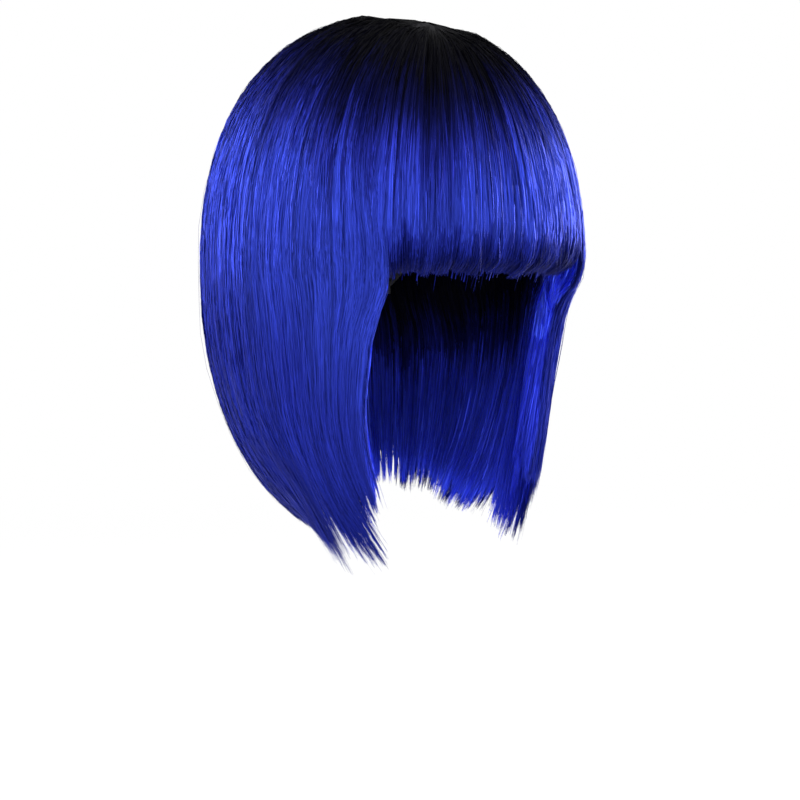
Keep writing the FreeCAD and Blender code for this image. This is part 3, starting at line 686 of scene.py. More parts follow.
def outer_hair(first_angle, last_angle, count, draw, spread, tip_in=0.0, longer=LONGER, edge=None):
    """Strand groups of the top layer between two angles from the front."""
    low, high = span(first_angle, last_angle)
    locks = np.arange(low, high, 0.0011)
    ends = ragged_cut(draw, locks, value_round(top_hem, locks), spread, longer)
    ends = ends - draw.uniform(0.003, 0.025, len(locks)) * spread / UNEVEN
    lying = comb_strands(top_hair, draw, locks, np.full(len(locks), 0.001), ends,
                         draw.uniform(0.0030, 0.0040, len(locks)), 26, tip_in=tip_in, edge=edge, **LYING)
    loose_at = draw.uniform(low, high, count)
    loose = comb_strands(top_hair, draw, loose_at, draw.uniform(0.002, 0.13, count),
                         ragged_cut(draw, loose_at, value_round(top_hem, loose_at), spread, longer),
                         draw.uniform(0.0001, 0.0032, count), 14, tip_in=tip_in, edge=edge)
    astray_at = draw.uniform(low, high, count // 110)
    astray = comb_strands(top_hair, draw, astray_at, draw.uniform(0.01, 0.16, len(astray_at)),
                          value_round(top_hem, astray_at) - draw.uniform(-0.006, 0.02, len(astray_at)),
                          np.zeros(len(astray_at)), 16, wave=0.0008, slant=0.010, bow=0.0006, edge=edge)
    return [(*lying, tones(draw, locks), np.full(len(locks), 0.0018)),
            (*loose, tones(draw, loose_at), draw.uniform(0.00034, 0.00055, count)),
            (*astray, tones(draw, astray_at), np.full(len(astray_at), 0.00028))]


def filling_hair(first_angle, last_angle, count, draw, spread, edge=None, deepest=0.021, tip_in=0.0,
                 longer=LONGER):
    """Strands through the thickness of the hair, from under the cap's edge to the cut."""
    low, high = span(first_angle, last_angle)
    at = draw.uniform(low, high, count)
    depth = draw.uniform(0.003, deepest, count)
    end = ragged_cut(draw, at, value_round(top_hem, at), spread, longer) - depth * 0.45
    start = value_round(top_ear, at) + draw.uniform(0.0, 0.03, count)
    made = comb_strands(top_hair, draw, at, start, end, depth, 10, root_sink=0.0, tip_in=tip_in, edge=edge)
    return (*made, tones(draw, at), draw.uniform(0.00045, 0.0007, count))


def fringe_dye_and_shade(draw, points, along):
    """How far along the dye each fringe point reads, with painted shade where its tips roll under, easing off
    at the very tips.
    """
    across = points[:, -1:, 0]
    uneven = 0.003 * np.sin(310.0 * across) + 0.002 * np.sin(743.0 * across)
    uneven = uneven + draw.normal(0.0, 0.002, (len(points), 1))
    # Painted shade of the roll: strands below it read the ramp's darkest stops, a little lighter at the very
    # tips.
    shade = smooth((-0.029 + uneven - points[..., 2]) / 0.013)
    lit_tip = 1.0 - 0.55 * smooth((-0.045 - points[..., 2]) / 0.009)
    along = along + 0.012 * smooth((along - 0.080) / 0.045)
    return np.where(shade > 0.0, np.maximum(along, 0.553 + 0.033 * shade * lit_tip), along)


draw = np.random.default_rng(11)
groups = outer_hair(-FRINGE_ANGLE, FRINGE_ANGLE, 6300, draw, FRINGE_UNEVEN, FRINGE_ROLL, longer=0.0)
groups.append(filling_hair(-FRINGE_ANGLE, FRINGE_ANGLE, 900, draw, FRINGE_LINING_UNEVEN, deepest=0.012,
                           tip_in=FRINGE_ROLL, longer=0.0))
# The fringe's dye, with painted shade under its roll.
groups = [(points, facing, fringe_dye_and_shade(draw, points, along), *rest) for points, facing, along, *rest in groups]
hair_piece("fringe_hair", groups, blue_hair, "hair_fringe", "hair_crown")
for seed, (side, first, last) in enumerate(CURTAINS, 12):
    groups = outer_hair(first, last, 6600, np.random.default_rng(seed), UNEVEN, edge=face_edge)
    hair_piece(side + "_curtain_hair", groups, blue_hair, "hair_side_" + side)
draw = np.random.default_rng(14)
groups = outer_hair(SIDE_BACK_ANGLE, -SIDE_BACK_ANGLE, 6900, draw, UNEVEN, edge=face_edge)
hair_piece("back_hair", groups, blue_hair, "hair_back")


# ---- Under hair: the lower rows
# The lower rows are sewn to the wefts on the cap and hang inside the top layer, a little shorter.
# They carry the dark root dye too, run lower as painted shade, so the inside is dark at the nape and blue at
# the tips.
HEAD_HALF_WIDTH = 0.0785
HEAD_HALF_DEPTH = 0.099
HEAD_CROWN = 0.110
NAPE_TAPER = 0.130
WEFT_FACE = 0.0041
UNDER_INSET = 0.0223
UNDER_TOP = 0.088
UNDER_ROOTS = 0.010          # the height of the rows whose roots set the dye line
EDGE_LINING = 7.0            # degrees of thicker lining behind each front edge


def head_place(angle, z, out):
    """A point a set distance outside the head."""
    drop = np.where(z > 0, HEAD_CROWN + out, NAPE_TAPER)
    kept = np.sqrt(np.maximum(0.0, 1.0 - (z / drop) ** 2))
    deep = (HEAD_HALF_DEPTH + out) * kept
    x, y = plan(angle, (HEAD_HALF_WIDTH + out) * kept, deep, deep, 2.0)
    return np.stack((x, y, z + 0.0 * x), axis=-1)


def hair_place(angle, z, inset):
    """A point a set distance inside the hair's outline."""
    rise = np.clip((z - HAIR_WIDEST) / (HAIR_TOP - HAIR_WIDEST - inset), 0.0, 1.0)
    fall = np.clip((HAIR_WIDEST - z) / HAIR_FALL, 0.0, 0.965)
    level = np.where(z > HAIR_WIDEST, (1 - rise ** PLAN_POWER) ** (1 / PLAN_POWER),
                     (1 - fall ** FALL_POWER) ** (1 / FALL_POWER))
    level = fall_share(angle, z, level)
    x, y = plan(angle, HAIR_HALF_WIDTH, HAIR_FRONT, HAIR_BACK, PLAN_POWER)
    radius = np.hypot(x, y)
    keep = level * (radius - inset) / radius
    return np.stack((x * keep, y * keep, z + 0.0 * x), axis=-1)


under_z = np.linspace(UNDER_TOP, HAIR_WIDEST - 0.985 * HAIR_FALL, 130)[None, :]
under_angle = angles[:, None]
hug = 0.010 - 0.050 * smooth((turn_from_front(under_angle) - 80.0) / 40.0)
hang = smooth((hug - under_z) / 0.060)[..., None]
under_hair = Lie(head_place(under_angle, under_z, WEFT_FACE) * (1 - hang)
                 + hair_place(under_angle, under_z, UNDER_INSET) * hang)
shorter = np.where(angles > 250.0, 0.009, 0.003) + 0.011 * (turn_from_front(angles) <= FRINGE_ANGLE)
under_hem = under_hair.where_height(hem_height(angles) + shorter)
under_roots = under_hair.where_height(np.full(COLUMNS, UNDER_ROOTS))


def root_dyed(strands, place):
    """Strands whose dye is measured from their roots, and stands higher up beside the front edges."""
    points, facing, along = strands
    from_edge = np.minimum(np.abs(place - LEFT_EDGE), np.abs(RIGHT_EDGE - place))
    lifted = 0.075 * (1.0 - smooth(from_edge / 0.07))
    roots = np.interp(place % GIRTH, column_at[:-1], under_roots)
    return points, facing, np.maximum(0.0, along + (lifted - roots)[:, None])


def inner_hair(first_angle, last_angle, count, draw, spread, edge=None):
    """Strand groups on the inner face, seen from inside and below."""
    low, high = span(first_angle, last_angle)
    locks = np.arange(low, high, 0.0013)
    ends = ragged_cut(draw, locks, value_round(under_hem, locks), spread)
    ends = ends - draw.uniform(0.006, 0.040, len(locks))
    lying = comb_strands(under_hair, draw, locks, np.full(len(locks), 0.001), ends,
                         -draw.uniform(0.0030, 0.0042, len(locks)), 18, inward=True, edge=edge, **LYING)
    at = draw.uniform(low, high, count)
    hem = value_round(under_hem, at)
    loose = comb_strands(under_hair, draw, at, draw.uniform(0.0, 0.17, count) * hem / 0.28,
                         ragged_cut(draw, at, hem, spread), -draw.uniform(0.0002, 0.0034, count), 12,
                         root_sink=-0.002, inward=True, edge=edge)
    return [(*root_dyed(lying, locks), tones(draw, locks), np.full(len(locks), 0.0021)),
            (*root_dyed(loose, at), tones(draw, at), draw.uniform(0.00038, 0.0006, count))]


groups = inner_hair(-FRINGE_ANGLE, FRINGE_ANGLE, 1500, np.random.default_rng(21), FRINGE_LINING_UNEVEN)
hair_piece("under_fringe_hair", groups, under_hair_painted_light_and_shade, "hair_under_fringe")
for seed, (side, first, last) in enumerate(CURTAINS, 22):
    draw = np.random.default_rng(seed)
    front = (first, first + EDGE_LINING) if side == "left" else (last - EDGE_LINING, last)
    groups = inner_hair(first, last, 3000, draw, UNEVEN, face_edge)
    groups.append(filling_hair(first, last, 2200, draw, UNEVEN, face_edge))
    groups.append(filling_hair(*front, 1500, draw, UNEVEN, face_edge))
    hair_piece(side + "_under_hair", groups, under_hair_painted_light_and_shade, "hair_under_" + side)
draw = np.random.default_rng(24)
groups = inner_hair(SIDE_BACK_ANGLE, -SIDE_BACK_ANGLE, 3800, draw, UNEVEN, face_edge)
groups.append(filling_hair(SIDE_BACK_ANGLE, -SIDE_BACK_ANGLE, 3200, draw, UNEVEN, face_edge))
hair_piece("back_under_hair", groups, under_hair_painted_light_and_shade, "hair_under_back")


# ---- Cap net: crown, front, back and ear panels
# The cap is sewn from panels of fine black stretch net, which lets the scalp breathe.
# The panels meet at the temples, behind the ears and under the crown, and are drawn snug over the head.
NET_OUT = 0.0010
NET_CELL = 0.0017
NET_THREAD = 0.00034
NET_SEAM = 0.0004
PANEL_SEAM = 0.1             # degrees from a panel's edge to the seam
CROWN_NET_Z = 0.055
CROWN_NET_ROUND = 0.205
CROWN_NET_BEND = 0.098       # the radius of the dome that the round is stretched over
SIDE_NET_ANGLE = 100.0
TEMPLE_ANGLE = 52.0
HAIRLINE = 0.034
EAR_ARCH = 0.008
NAPE = -0.062
BAND_HEIGHT = 0.011


def cap_edge(angle):
    """The cap's lower edge: hairline, temple, ear arch and nape."""
    turn = turn_from_front(angle)
    edge = HAIRLINE * (1.0 - smooth((turn - 18.0) / (TEMPLE_ANGLE - 18.0)))
    edge = edge + EAR_ARCH * smooth((turn - 68.0) / 12.0)
    return edge + (NAPE - EAR_ARCH) * smooth((turn - SIDE_NET_ANGLE) / (150.0 - SIDE_NET_ANGLE))


def panel_foot(angle):
    """Where the net meets a band."""
    return cap_edge(angle) + BAND_HEIGHT + NET_SEAM


def corners(grid):
    """The four corners of each field of a grid."""
    around = (grid[:-1, :-1], grid[:-1, 1:], grid[1:, 1:], grid[1:, :-1])
    return np.stack(around, axis=2).reshape(-1, 4, *grid.shape[2:])


def grid_piece(name, points, weave, material):
    """A sheet from a grid of points, facing out, with its weave laid out in metres."""
    rows, columns = points.shape[:2]
    quads, spots = corners(np.arange(rows * columns).reshape(rows, columns)), corners(weave)
    flat = points.reshape(-1, 3)
    first = flat[quads]
    normal = np.cross(first[:, 2] - first[:, 0], first[:, 3] - first[:, 1])
    if (normal * (first.mean(axis=1) - np.array((0.0, 0.0, -0.02)))).sum() < 0:
        quads, spots = quads[:, ::-1], spots[:, ::-1]
    mesh = bpy.data.meshes.new(name)
    mesh.from_pydata(flat.tolist(), [], quads.tolist())
    layer = mesh.uv_layers.new(name="weave")
    layer.data.foreach_set("uv", np.ascontiguousarray(spots).ravel())
    mesh.shade_smooth()
    mesh.update()
    mesh.materials.append(material)
    return plain_object(name, mesh)


def net_material(name):
    """Knitted net: two sets of threads that cross, with open cells between them."""
    material, net, shader = new_material(name, {"Specular IOR Level": 0.2, "Sheen Weight": 0.25})
    u, v = net.own_map("weave")
    edge = 0.5 - NET_THREAD / NET_CELL / 2.0
    rise, fall = (net.math("ABSOLUTE", ((u + way * v) / NET_CELL).part() - 0.5) for way in (1.0, -1.0))
    yarn = net.math("MAXIMUM", rise, fall).clear(edge - 0.03, edge + 0.03)
    grain = net.noise(900.0)
    feed(shader, {"Base Color": grain.mix((0.006, 0.006, 0.008), (0.022, 0.021, 0.026)),
                  "Roughness": 0.7 + grain * 0.2, "Alpha": yarn, "Normal": yarn.bump(0.6, 0.0003)})
    return material


cap_net = net_material("cap_net")


def cap_panel(name, start, end, foot):
    """A panel of net between two angles, down to its foot, its weave laid out by true lengths."""
    angle = np.linspace(start, end, 60)[:, None]
    share_down = np.linspace(0.0, 1.0, 14)[None, :]
    z = CROWN_NET_Z * (1 - share_down) + foot(angle) * share_down
    points = head_place(angle + 0.0 * z, z, NET_OUT)
    girth = head_place(angle, 0.0 * angle, NET_OUT)
    wide = np.cumsum(np.linalg.norm(np.diff(girth, axis=0, prepend=girth[:1]), axis=2), axis=0) + 0.0 * z
    tall = np.cumsum(np.linalg.norm(np.diff(points, axis=1, prepend=points[:, :1]), axis=2), axis=1)
    return grid_piece(name, points, np.stack((wide, tall), axis=-1), cap_net), (wide.max(), tall.max())


net_sheets = [(node, *cap_panel(node + "_mesh", first + PANEL_SEAM, last - PANEL_SEAM, foot))
              for node, first, last, foot in (
                  ("front_net", -TEMPLE_ANGLE, TEMPLE_ANGLE, panel_foot),
                  ("side_net_left", TEMPLE_ANGLE, SIDE_NET_ANGLE, cap_edge),
                  ("side_net_right", -SIDE_NET_ANGLE, -TEMPLE_ANGLE, cap_edge),
                  ("back_net", SIDE_NET_ANGLE, 360.0 - SIDE_NET_ANGLE, panel_foot))]
net_wide, net_deep, net_high = HEAD_HALF_WIDTH + NET_OUT, HEAD_HALF_DEPTH + NET_OUT, HEAD_CROWN + NET_OUT
round_way = np.linspace(0.0, 360.0, 97)[:, None]
rise = np.linspace(math.asin(CROWN_NET_Z / net_high), math.radians(89.5), 18)[None, :]
dome_deep = net_deep * np.cos(rise)
dome_x, dome_y = plan(round_way, net_wide * np.cos(rise), dome_deep, dome_deep, 2.0)
dome = np.stack((dome_x, dome_y, net_high * np.sin(rise) + 0.0 * dome_x), axis=-1)
dome_way = np.stack((np.sin(np.radians(round_way)) + 0.0 * rise,
                     -np.cos(np.radians(round_way)) + 0.0 * rise), axis=-1)
dome_weave = (math.pi / 2 - rise)[..., None] * dome_way * CROWN_NET_BEND
net_sheets.append(("crown_net", grid_piece("crown_net_mesh", dome, dome_weave, cap_net),
                   (CROWN_NET_ROUND, CROWN_NET_ROUND)))
for node, sheet, flat in net_sheets:
    dress(sheet, "cap_net", node)


# ---- Bands, ribs and wefts
# Satin tape binds the cap's edge at the forehead and nape, and narrow elastic tapes run up its back.
# The hair itself comes as wefts: machine-stitched tracks, sewn round the back and up the front in rows.
def woven_material(name, dark, light, rib, cross, sheen):
    """Woven tape: lengthwise ribs crossed by finer picks, laid out along the tape."""
    material, cloth, shader = new_material(name, {"Sheen Weight": sheen})
    u, v = cloth.own_map("weave")
    ribs = cloth.math("SINE", u * (2 * math.pi / rib)) * 0.5 + 0.5
    picks = cloth.math("SINE", v * (2 * math.pi / cross) + ribs * 2.0) * 0.5 + 0.5
    weave = ribs * 0.6 + picks * 0.4
    tint = weave * 0.75 + cloth.noise(600.0) * 0.25
    feed(shader, {"Base Color": tint.mix(dark, light), "Roughness": 0.85 - weave * 0.3,
                  "Normal": weave.bump(0.7, 0.00015)})
    return material


def thread_material(name, dark, light):
    """Twisted thread with a soft sheen."""
    material, yarn, shader = new_material(name, {"Sheen Weight": 0.3, "Specular IOR Level": 0.3})
    twist = yarn.noise(2500.0)
    feed(shader, {"Base Color": twist.mix(dark, light), "Roughness": 0.5 + twist * 0.3})
    return material


satin = woven_material("band_satin", (0.006, 0.006, 0.007), (0.018, 0.018, 0.022), 0.0009, 0.0004, 0.08)
elastic = woven_material("ribbed_elastic", (0.008, 0.008, 0.009), (0.045, 0.044, 0.048), 0.0012, 0.0006, 0.1)
weft_cloth = woven_material("weft_track", (0.004, 0.004, 0.008), (0.012, 0.014, 0.050), 0.0015, 0.0005, 0.1)
black_thread = thread_material("black_thread", (0.012, 0.012, 0.014), (0.05, 0.05, 0.055))
navy_thread = thread_material("navy_thread", (0.006, 0.007, 0.030), (0.02, 0.025, 0.09))


def tape_tree():
    """Lays a flat tape with round edges along each line, with its weave laid out in metres."""
    t = Tree("flat_tape", (("Tape width", "Float", 0.01), ("Tape thickness", "Float", 0.001),
                           ("Cloth", "Material", None)))
    width, thickness = t.given["Tape width"], t.given["Tape thickness"]
    outline = t.add("GeometryNodeCurvePrimitiveQuadrilateral", Width=thickness, Height=width)
    outline = t.add("GeometryNodeFilletCurve", {"mode": "POLY"}, Curve=outline,
                    Radius=t.calc("MULTIPLY", thickness, 0.45), Count=2)
    height = t.add("ShaderNodeSeparateXYZ", output=1, _0=t.add("GeometryNodeInputPosition"))
    outline = t.store("across", "FLOAT", "POINT", outline, height)
    tape = t.add("GeometryNodeCurveToMesh", Curve=t.faced_lines(), Profile_Curve=outline, Fill_Caps=True)
    spot = t.add("ShaderNodeCombineXYZ", X=t.named("across"), Y=t.named("along"))
    return t.close(t.store("weave", "FLOAT2", "CORNER", tape, spot), t.given["Cloth"])


def stitch_tree():
    """Sets thread stitches along each line, each one a short rounded bead of thread."""
    t = Tree("stitches", (("Pitch", "Float", 0.003), ("Stitch length", "Float", 0.002),
                          ("Thread", "Float", 0.0003), ("Zigzag", "Float", 0.0), ("Yarn", "Material", None)))
    spread = t.add("GeometryNodeCurveToPoints", {"mode": "LENGTH"}, Curve=t.faced_lines(),
                   Length=t.given["Pitch"])
    parity = t.calc("MODULO", t.add("GeometryNodeInputIndex"), 2.0)
    lean = t.add("ShaderNodeMath", {"operation": "MULTIPLY_ADD"}, _0=parity, _1=2.0, _2=-1.0)
    tilt_by = t.add("FunctionNodeAxisAngleToRotation", Axis=(1.0, 0.0, 0.0),
                    Angle=t.calc("MULTIPLY", lean, t.given["Zigzag"]))
    turn = t.add("FunctionNodeRotateRotation", {"rotation_space": "LOCAL"},
                 Rotation=spread.node.outputs["Rotation"], Rotate_By=tilt_by)
    bead = t.add("GeometryNodeMeshUVSphere", Segments=6, Rings=4, Radius=0.5)
    size = t.add("ShaderNodeCombineXYZ", X=t.given["Thread"], Y=t.given["Thread"], Z=t.given["Stitch length"])
    made = t.add("GeometryNodeInstanceOnPoints", Points=spread, Instance=bead, Rotation=turn, Scale=size)
    made = t.add("GeometryNodeSetShadeSmooth", Geometry=t.add("GeometryNodeRealizeInstances", _0=made))
    return t.close(made, t.given["Yarn"])


flat_tape, stitches = tape_tree(), stitch_tree()


def cap_line(angle, z, out):
    """A line on the cap and the way out of the head along it."""
    points = head_place(angle, z, out)
    outward = head_place(angle, z, out + 0.004) - points
    return points, outward / np.linalg.norm(outward, axis=-1, keepdims=True)


def both_faces(angle, z, middle, thickness):
    """The lines of stitches on the inner and on the outer face of a tape."""
    return [cap_line(angle, z, middle + face * thickness / 2) for face in (-1.0, 1.0)]


def sewing_lines(name, lines):
    """Lines, each (points, facing), that also carry how far along they are in metres."""
    vertices, edges, values, base = [], [], {"facing": [], "along": []}, 0
    for points, facing in lines:
        count = len(points)
        steps = np.linalg.norm(np.diff(points, axis=0), axis=1)
        vertices.append(points)
        edges.append(np.stack((np.arange(count - 1), np.arange(1, count)), axis=1) + base)
        values["facing"].append(facing)
        values["along"].append(np.concatenate(([0.0], np.cumsum(steps))))
        base += count
    return line_mesh(name, vertices, edges, values)


def tape_piece(name, lines, size, material, slot, *nodes, body="root"):
    """Tape along each line; its size is its width and thickness."""
    piece = put_modifier(sewing_lines(name, lines), flat_tape,
                         {"Tape width": size[0], "Tape thickness": size[1], "Cloth": material})
    piece.data.shade_smooth()
    dress(piece, slot, *nodes, body=body)
    return piece


def stitch_piece(name, lines, size, thread=black_thread, zigzag=0.0, body="root"):
    """Stitches along each line; their size is their pitch, length and thickness."""
    piece = put_modifier(sewing_lines(name, lines), stitches, {
        "Pitch": size[0], "Stitch length": size[1], "Thread": size[2], "Zigzag": zigzag, "Yarn": thread})
    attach(piece, body)


SIDES = (("left", 1.0), ("right", -1.0))
BAND_IN = 0.0005             # from the head to the band's inner face
BAND_THICKNESS = 0.0016
BAND_OUT = BAND_IN + BAND_THICKNESS / 2
BAND_STITCH = (0.0026, 0.0019, 0.00032)
front_at = np.linspace(-TEMPLE_ANGLE, TEMPLE_ANGLE, 60)
nape_at = np.linspace(SIDE_NET_ANGLE + 0.3, 359.7 - SIDE_NET_ANGLE, 110)
for node, at in (("front_band", front_at), ("nape_band", nape_at)):
    middle = cap_edge(at) + BAND_HEIGHT / 2
    tape_piece(node + "_tape", [cap_line(at, middle, BAND_OUT)], (BAND_HEIGHT - 0.0002, BAND_THICKNESS),
               satin, "band", node)
    rows = [row for shift in (-0.004, 0.004)
            for row in both_faces(at, middle + shift, BAND_OUT, BAND_THICKNESS)]
    stitch_piece(node + "_stitches", rows, BAND_STITCH)

EDGE_TAPE = (0.0027, 0.0013)
EDGE_STITCH = (0.0026, 0.0019, 0.00028)
for side, sign in SIDES:
    at = np.linspace(TEMPLE_ANGLE + 0.4, SIDE_NET_ANGLE - 0.4, 60) * sign
    line = cap_line(at, cap_edge(at) + 0.0014, NET_OUT)
    tape_piece(f"ear_edge_{side}_binding", [line], EDGE_TAPE, satin, "band")
    rows = both_faces(at, cap_edge(at) + 0.0019, NET_OUT, EDGE_TAPE[1])
    stitch_piece(f"ear_edge_{side}_stitches", rows, EDGE_STITCH)

RIB_OUT = 0.0022
RIB_TAPE = (0.0078, 0.0008)
RIB_STITCH = (0.0028, 0.0020, 0.00030)
seams = []
for number, angle in enumerate((112.0, 148.0, 180.0, 212.0, 248.0), 1):
    node = f"rib_tape_{number}"
    z = np.linspace(panel_foot(angle), CROWN_NET_Z - NET_SEAM, 24)
    tape_piece(node + "_elastic", [cap_line(angle, z, RIB_OUT)], RIB_TAPE, elastic, "elastic", node)
    seams += [cap_line(angle + shift, z, RIB_OUT + RIB_TAPE[1] / 2) for shift in (-1.7, 1.7)]
stitch_piece("rib_stitches", seams, RIB_STITCH)

WEFT_OUT = 0.00335
WEFT_TAPE = (0.0029, 0.0014)
WEFT_STITCH = (0.0016, 0.0019, 0.00028)
WEFT_ROWS = ((-0.044, 142.0), (-0.028, 133.0), (-0.012, 124.0), (0.008, 62.0), (0.024, 52.0),
             (0.039, 42.0), (0.058, 8.0), (0.072, 8.0), (0.085, 12.0), (0.096, 26.0))
seams = []
for number, (z, start) in enumerate(WEFT_ROWS, 1):
    node = f"weft_row_{number:02d}"
    at, middle = np.linspace(start, 360.0 - start, 120), z + 0.0015
    tape_piece(node + "_track", [cap_line(at, middle, WEFT_OUT)], WEFT_TAPE, weft_cloth, "weft_track", node)
    seams += both_faces(at, middle, WEFT_OUT, WEFT_TAPE[1])
stitch_piece("weft_stitches", seams, WEFT_STITCH, navy_thread, zigzag=0.7)


# ---- Scalp patch
# A small oval of thin skin-coloured film lies under the parting. Single hairs are knotted through it.
# It lies on the crown net and lets the parting show skin.
PATCH_HALF_WIDTH = 0.013
PATCH_HALF_LENGTH = 0.029
PATCH_Y = -0.030
PATCH_OUT = 0.0026
patch_turn = np.linspace(0.0, 360.0, 49)[:-1][:, None]
patch_share = np.linspace(0.02, 1.0, 10)[None, :]
patch_x = PATCH_HALF_WIDTH * patch_share * np.sin(np.radians(patch_turn))
patch_y = PATCH_Y - PATCH_HALF_LENGTH * patch_share * np.cos(np.radians(patch_turn))
patch_z = (HEAD_CROWN + PATCH_OUT) * np.sqrt(1 - (patch_x / (HEAD_HALF_WIDTH + PATCH_OUT)) ** 2
                                             - (patch_y / (HEAD_HALF_DEPTH + PATCH_OUT)) ** 2)
patch_points = np.stack((patch_x, patch_y, patch_z), axis=-1)
patch_points = np.concatenate((patch_points, patch_points[:1]))
skin, film, film_shader = new_material("scalp_skin", {"Specular IOR Level": 0.3})
knots = film.node("ShaderNodeTexVoronoi", {}, {"Vector": film.spot(), "Scale": 700.0}).clear(0.14, 0.26)
blotch = film.noise(120.0)
flesh = blotch.mix((0.50, 0.33, 0.24), (0.62, 0.44, 0.33))
feed(film_shader, {"Base Color": knots.mix((0.01, 0.01, 0.012), flesh), "Roughness": 0.55 + blotch * 0.25,
                   "Normal": knots.bump(0.5, 0.0003)})
dress(grid_piece("scalp_skin", patch_points, patch_points[..., :2], skin), "scalp_skin", "scalp_patch")


# ---- Ear tabs and their stays
# Each tab is a velvet-faced tongue in front of the ear, stitched round its rim, on a springy plastic stay
# that is slipped under a sewn satin casing so the wearer can bend the tab to the temple.
TAB_ANGLE, TAB_HALF = 60.0, 7.0
TAB_TOP, TAB_LENGTH = -0.0006, 0.038
TAB_OUT, TAB_PUFF, TAB_RIM = 0.0014, 0.0009, 0.0014
TAB_STITCH = (0.0024, 0.0017, 0.0003)
CASING_HALF = 2.9            # degrees
CASING_OUT, CASING_RISE = 0.0024, 0.0011
CASING_STITCH = (0.0022, 0.0016, 0.00028)
STAY_MIDDLE, STAY_HALF = -0.0176, 0.0146


def tab_half(z):
    """Half the tab's width in degrees: full at the seam and round at the tip."""
    share_along = np.clip(-z / (TAB_LENGTH + 0.0006), 0.0, 0.985)
    return TAB_HALF * (1.0 - share_along ** 3) ** (1.0 / 3.0)


def face_out(piece):
    """Turns every face of a closed piece outwards."""
    made = bmesh.new()
    made.from_mesh(piece.data)
    bmesh.ops.remove_doubles(made, verts=made.verts, dist=1e-6)
    bmesh.ops.recalc_face_normals(made, faces=made.faces)
    made.to_mesh(piece.data)
    made.free()


velvet, pile, pile_shader = new_material("ear_tab_velvet", {
    "Sheen Weight": 0.9, "Sheen Roughness": 0.35, "Sheen Tint": (0.5, 0.5, 0.6, 1.0),
    "Specular IOR Level": 0.1})
nap = pile.noise(1800.0)
brushed = nap * 0.5 + pile.noise(140.0) * 0.5
feed(pile_shader, {"Base Color": brushed.mix((0.008, 0.008, 0.010), (0.030, 0.029, 0.034)),
                   "Roughness": 0.8 + nap * 0.2, "Normal": nap.bump(0.5, 0.0002)})
for side, sign in SIDES:
    body = "ear_tab_" + side
    z = np.linspace(TAB_TOP, TAB_TOP - TAB_LENGTH, 26)[:, None]
    across = np.linspace(-1.0, 1.0, 13)[None, :]
    puff = TAB_PUFF * np.sqrt(np.maximum(0.0, 1.0 - across ** 4)) + 0.0 * z
    at = sign * (TAB_ANGLE + tab_half(z) * across)
    outer, inner = (head_place(at, z + 0.0 * at, TAB_OUT + face * puff * 0.95) for face in (1.0, -1.0))
    shell = np.concatenate((outer, inner[:, ::-1][:, 1:-1]), axis=1)
    rows, columns = shell.shape[:2]
    index = np.arange(rows * columns).reshape(rows, columns)
    quads = corners(np.concatenate((index, index[:, :1]), axis=1)).tolist()
    mesh = bpy.data.meshes.new(body + "_velvet")
    mesh.from_pydata(shell.reshape(-1, 3).tolist(), [], quads + [index[0].tolist(), index[-1, ::-1].tolist()])
    tab = plain_object(mesh.name, mesh)
    face_out(tab)
    mesh.materials.append(velvet)
    mesh.shade_smooth()
    dress(tab, "velvet", body, body=body)
    down = np.linspace(-0.0338, -0.0012, 34)[:, None]
    across = np.linspace(-1.0, 1.0, 15)[None, :]
    end_share = np.clip((np.abs(down - STAY_MIDDLE) - STAY_HALF) / 0.0015, 0.0, 1.0)
    rise = (1.0 - smooth((np.abs(across) - 0.55) / 0.45)) * (1.0 - smooth(end_share))
    casing_at = sign * (TAB_ANGLE + CASING_HALF * across) + 0.0 * down
    points = head_place(casing_at, down + 0.0 * across, CASING_OUT + CASING_RISE * rise)
    weave = np.stack((across * 0.0045 + 0.0 * down, down + 0.0 * across), axis=-1)
    dress(grid_piece(body + "_casing", points, weave, satin), "band", body=body)
    casing_z = np.linspace(-0.033, -0.002, 24)
    rows = [cap_line(sign * (TAB_ANGLE + seam), casing_z, CASING_OUT + 0.0001)
            for seam in (0.2 - CASING_HALF, CASING_HALF - 0.2)]
    stitch_piece(body + "_casing_stitches", rows, CASING_STITCH, body=body)
    rim_z = np.concatenate((z[1:-1, 0], z[1:-1, 0][::-1]))
    rim_at = sign * (TAB_ANGLE + tab_half(rim_z) * np.repeat((0.86, -0.86), 24))
    rim_z = np.maximum(rim_z, TAB_TOP - TAB_LENGTH + 0.002)
    stitch_piece(body + "_stitches", both_faces(rim_at, rim_z, TAB_OUT, TAB_RIM), TAB_STITCH, body=body)


# ---- Adjuster straps, their end loops and the loop ladder
# A ribbed elastic strap runs inside each side of the nape and ends in a sewn loop round its wire hook.
# The hook drops over one of four thread loops on the nape band, to draw the cap in.
STRAP_Z = NAPE + BAND_HEIGHT / 2
STRAP_START = 139.0
STRAP_TAPE = (0.0088, 0.0011)
STRAP_GAP = 0.0003
HOOK_AT = 160.0
HOOK_DEPTH = 0.0019
HOOK_WIRE_RADIUS = 0.0006
LOOP_GAP = 0.00006
LOOP_THICKNESS = 0.0008
LOOP_RADIUS = HOOK_WIRE_RADIUS + LOOP_GAP + LOOP_THICKNESS / 2
LADDER_START, LADDER_PITCH = 164.0, 4.2
LADDER_TAPE = (0.0016, 0.0004)
LADDER_GAP = 0.00015
LADDER_OUT = BAND_IN - LADDER_GAP - LADDER_TAPE[1] / 2
STRAP_OUT = BAND_IN - STRAP_GAP - STRAP_TAPE[1] / 2
loop_reach = HOOK_WIRE_RADIUS + LOOP_GAP + LOOP_THICKNESS + STRAP_GAP
strap_last = HOOK_AT - math.degrees(loop_reach / HEAD_HALF_WIDTH)


def head_spot(angle, z, out):
    return Vector(head_place(angle, z, out).tolist())


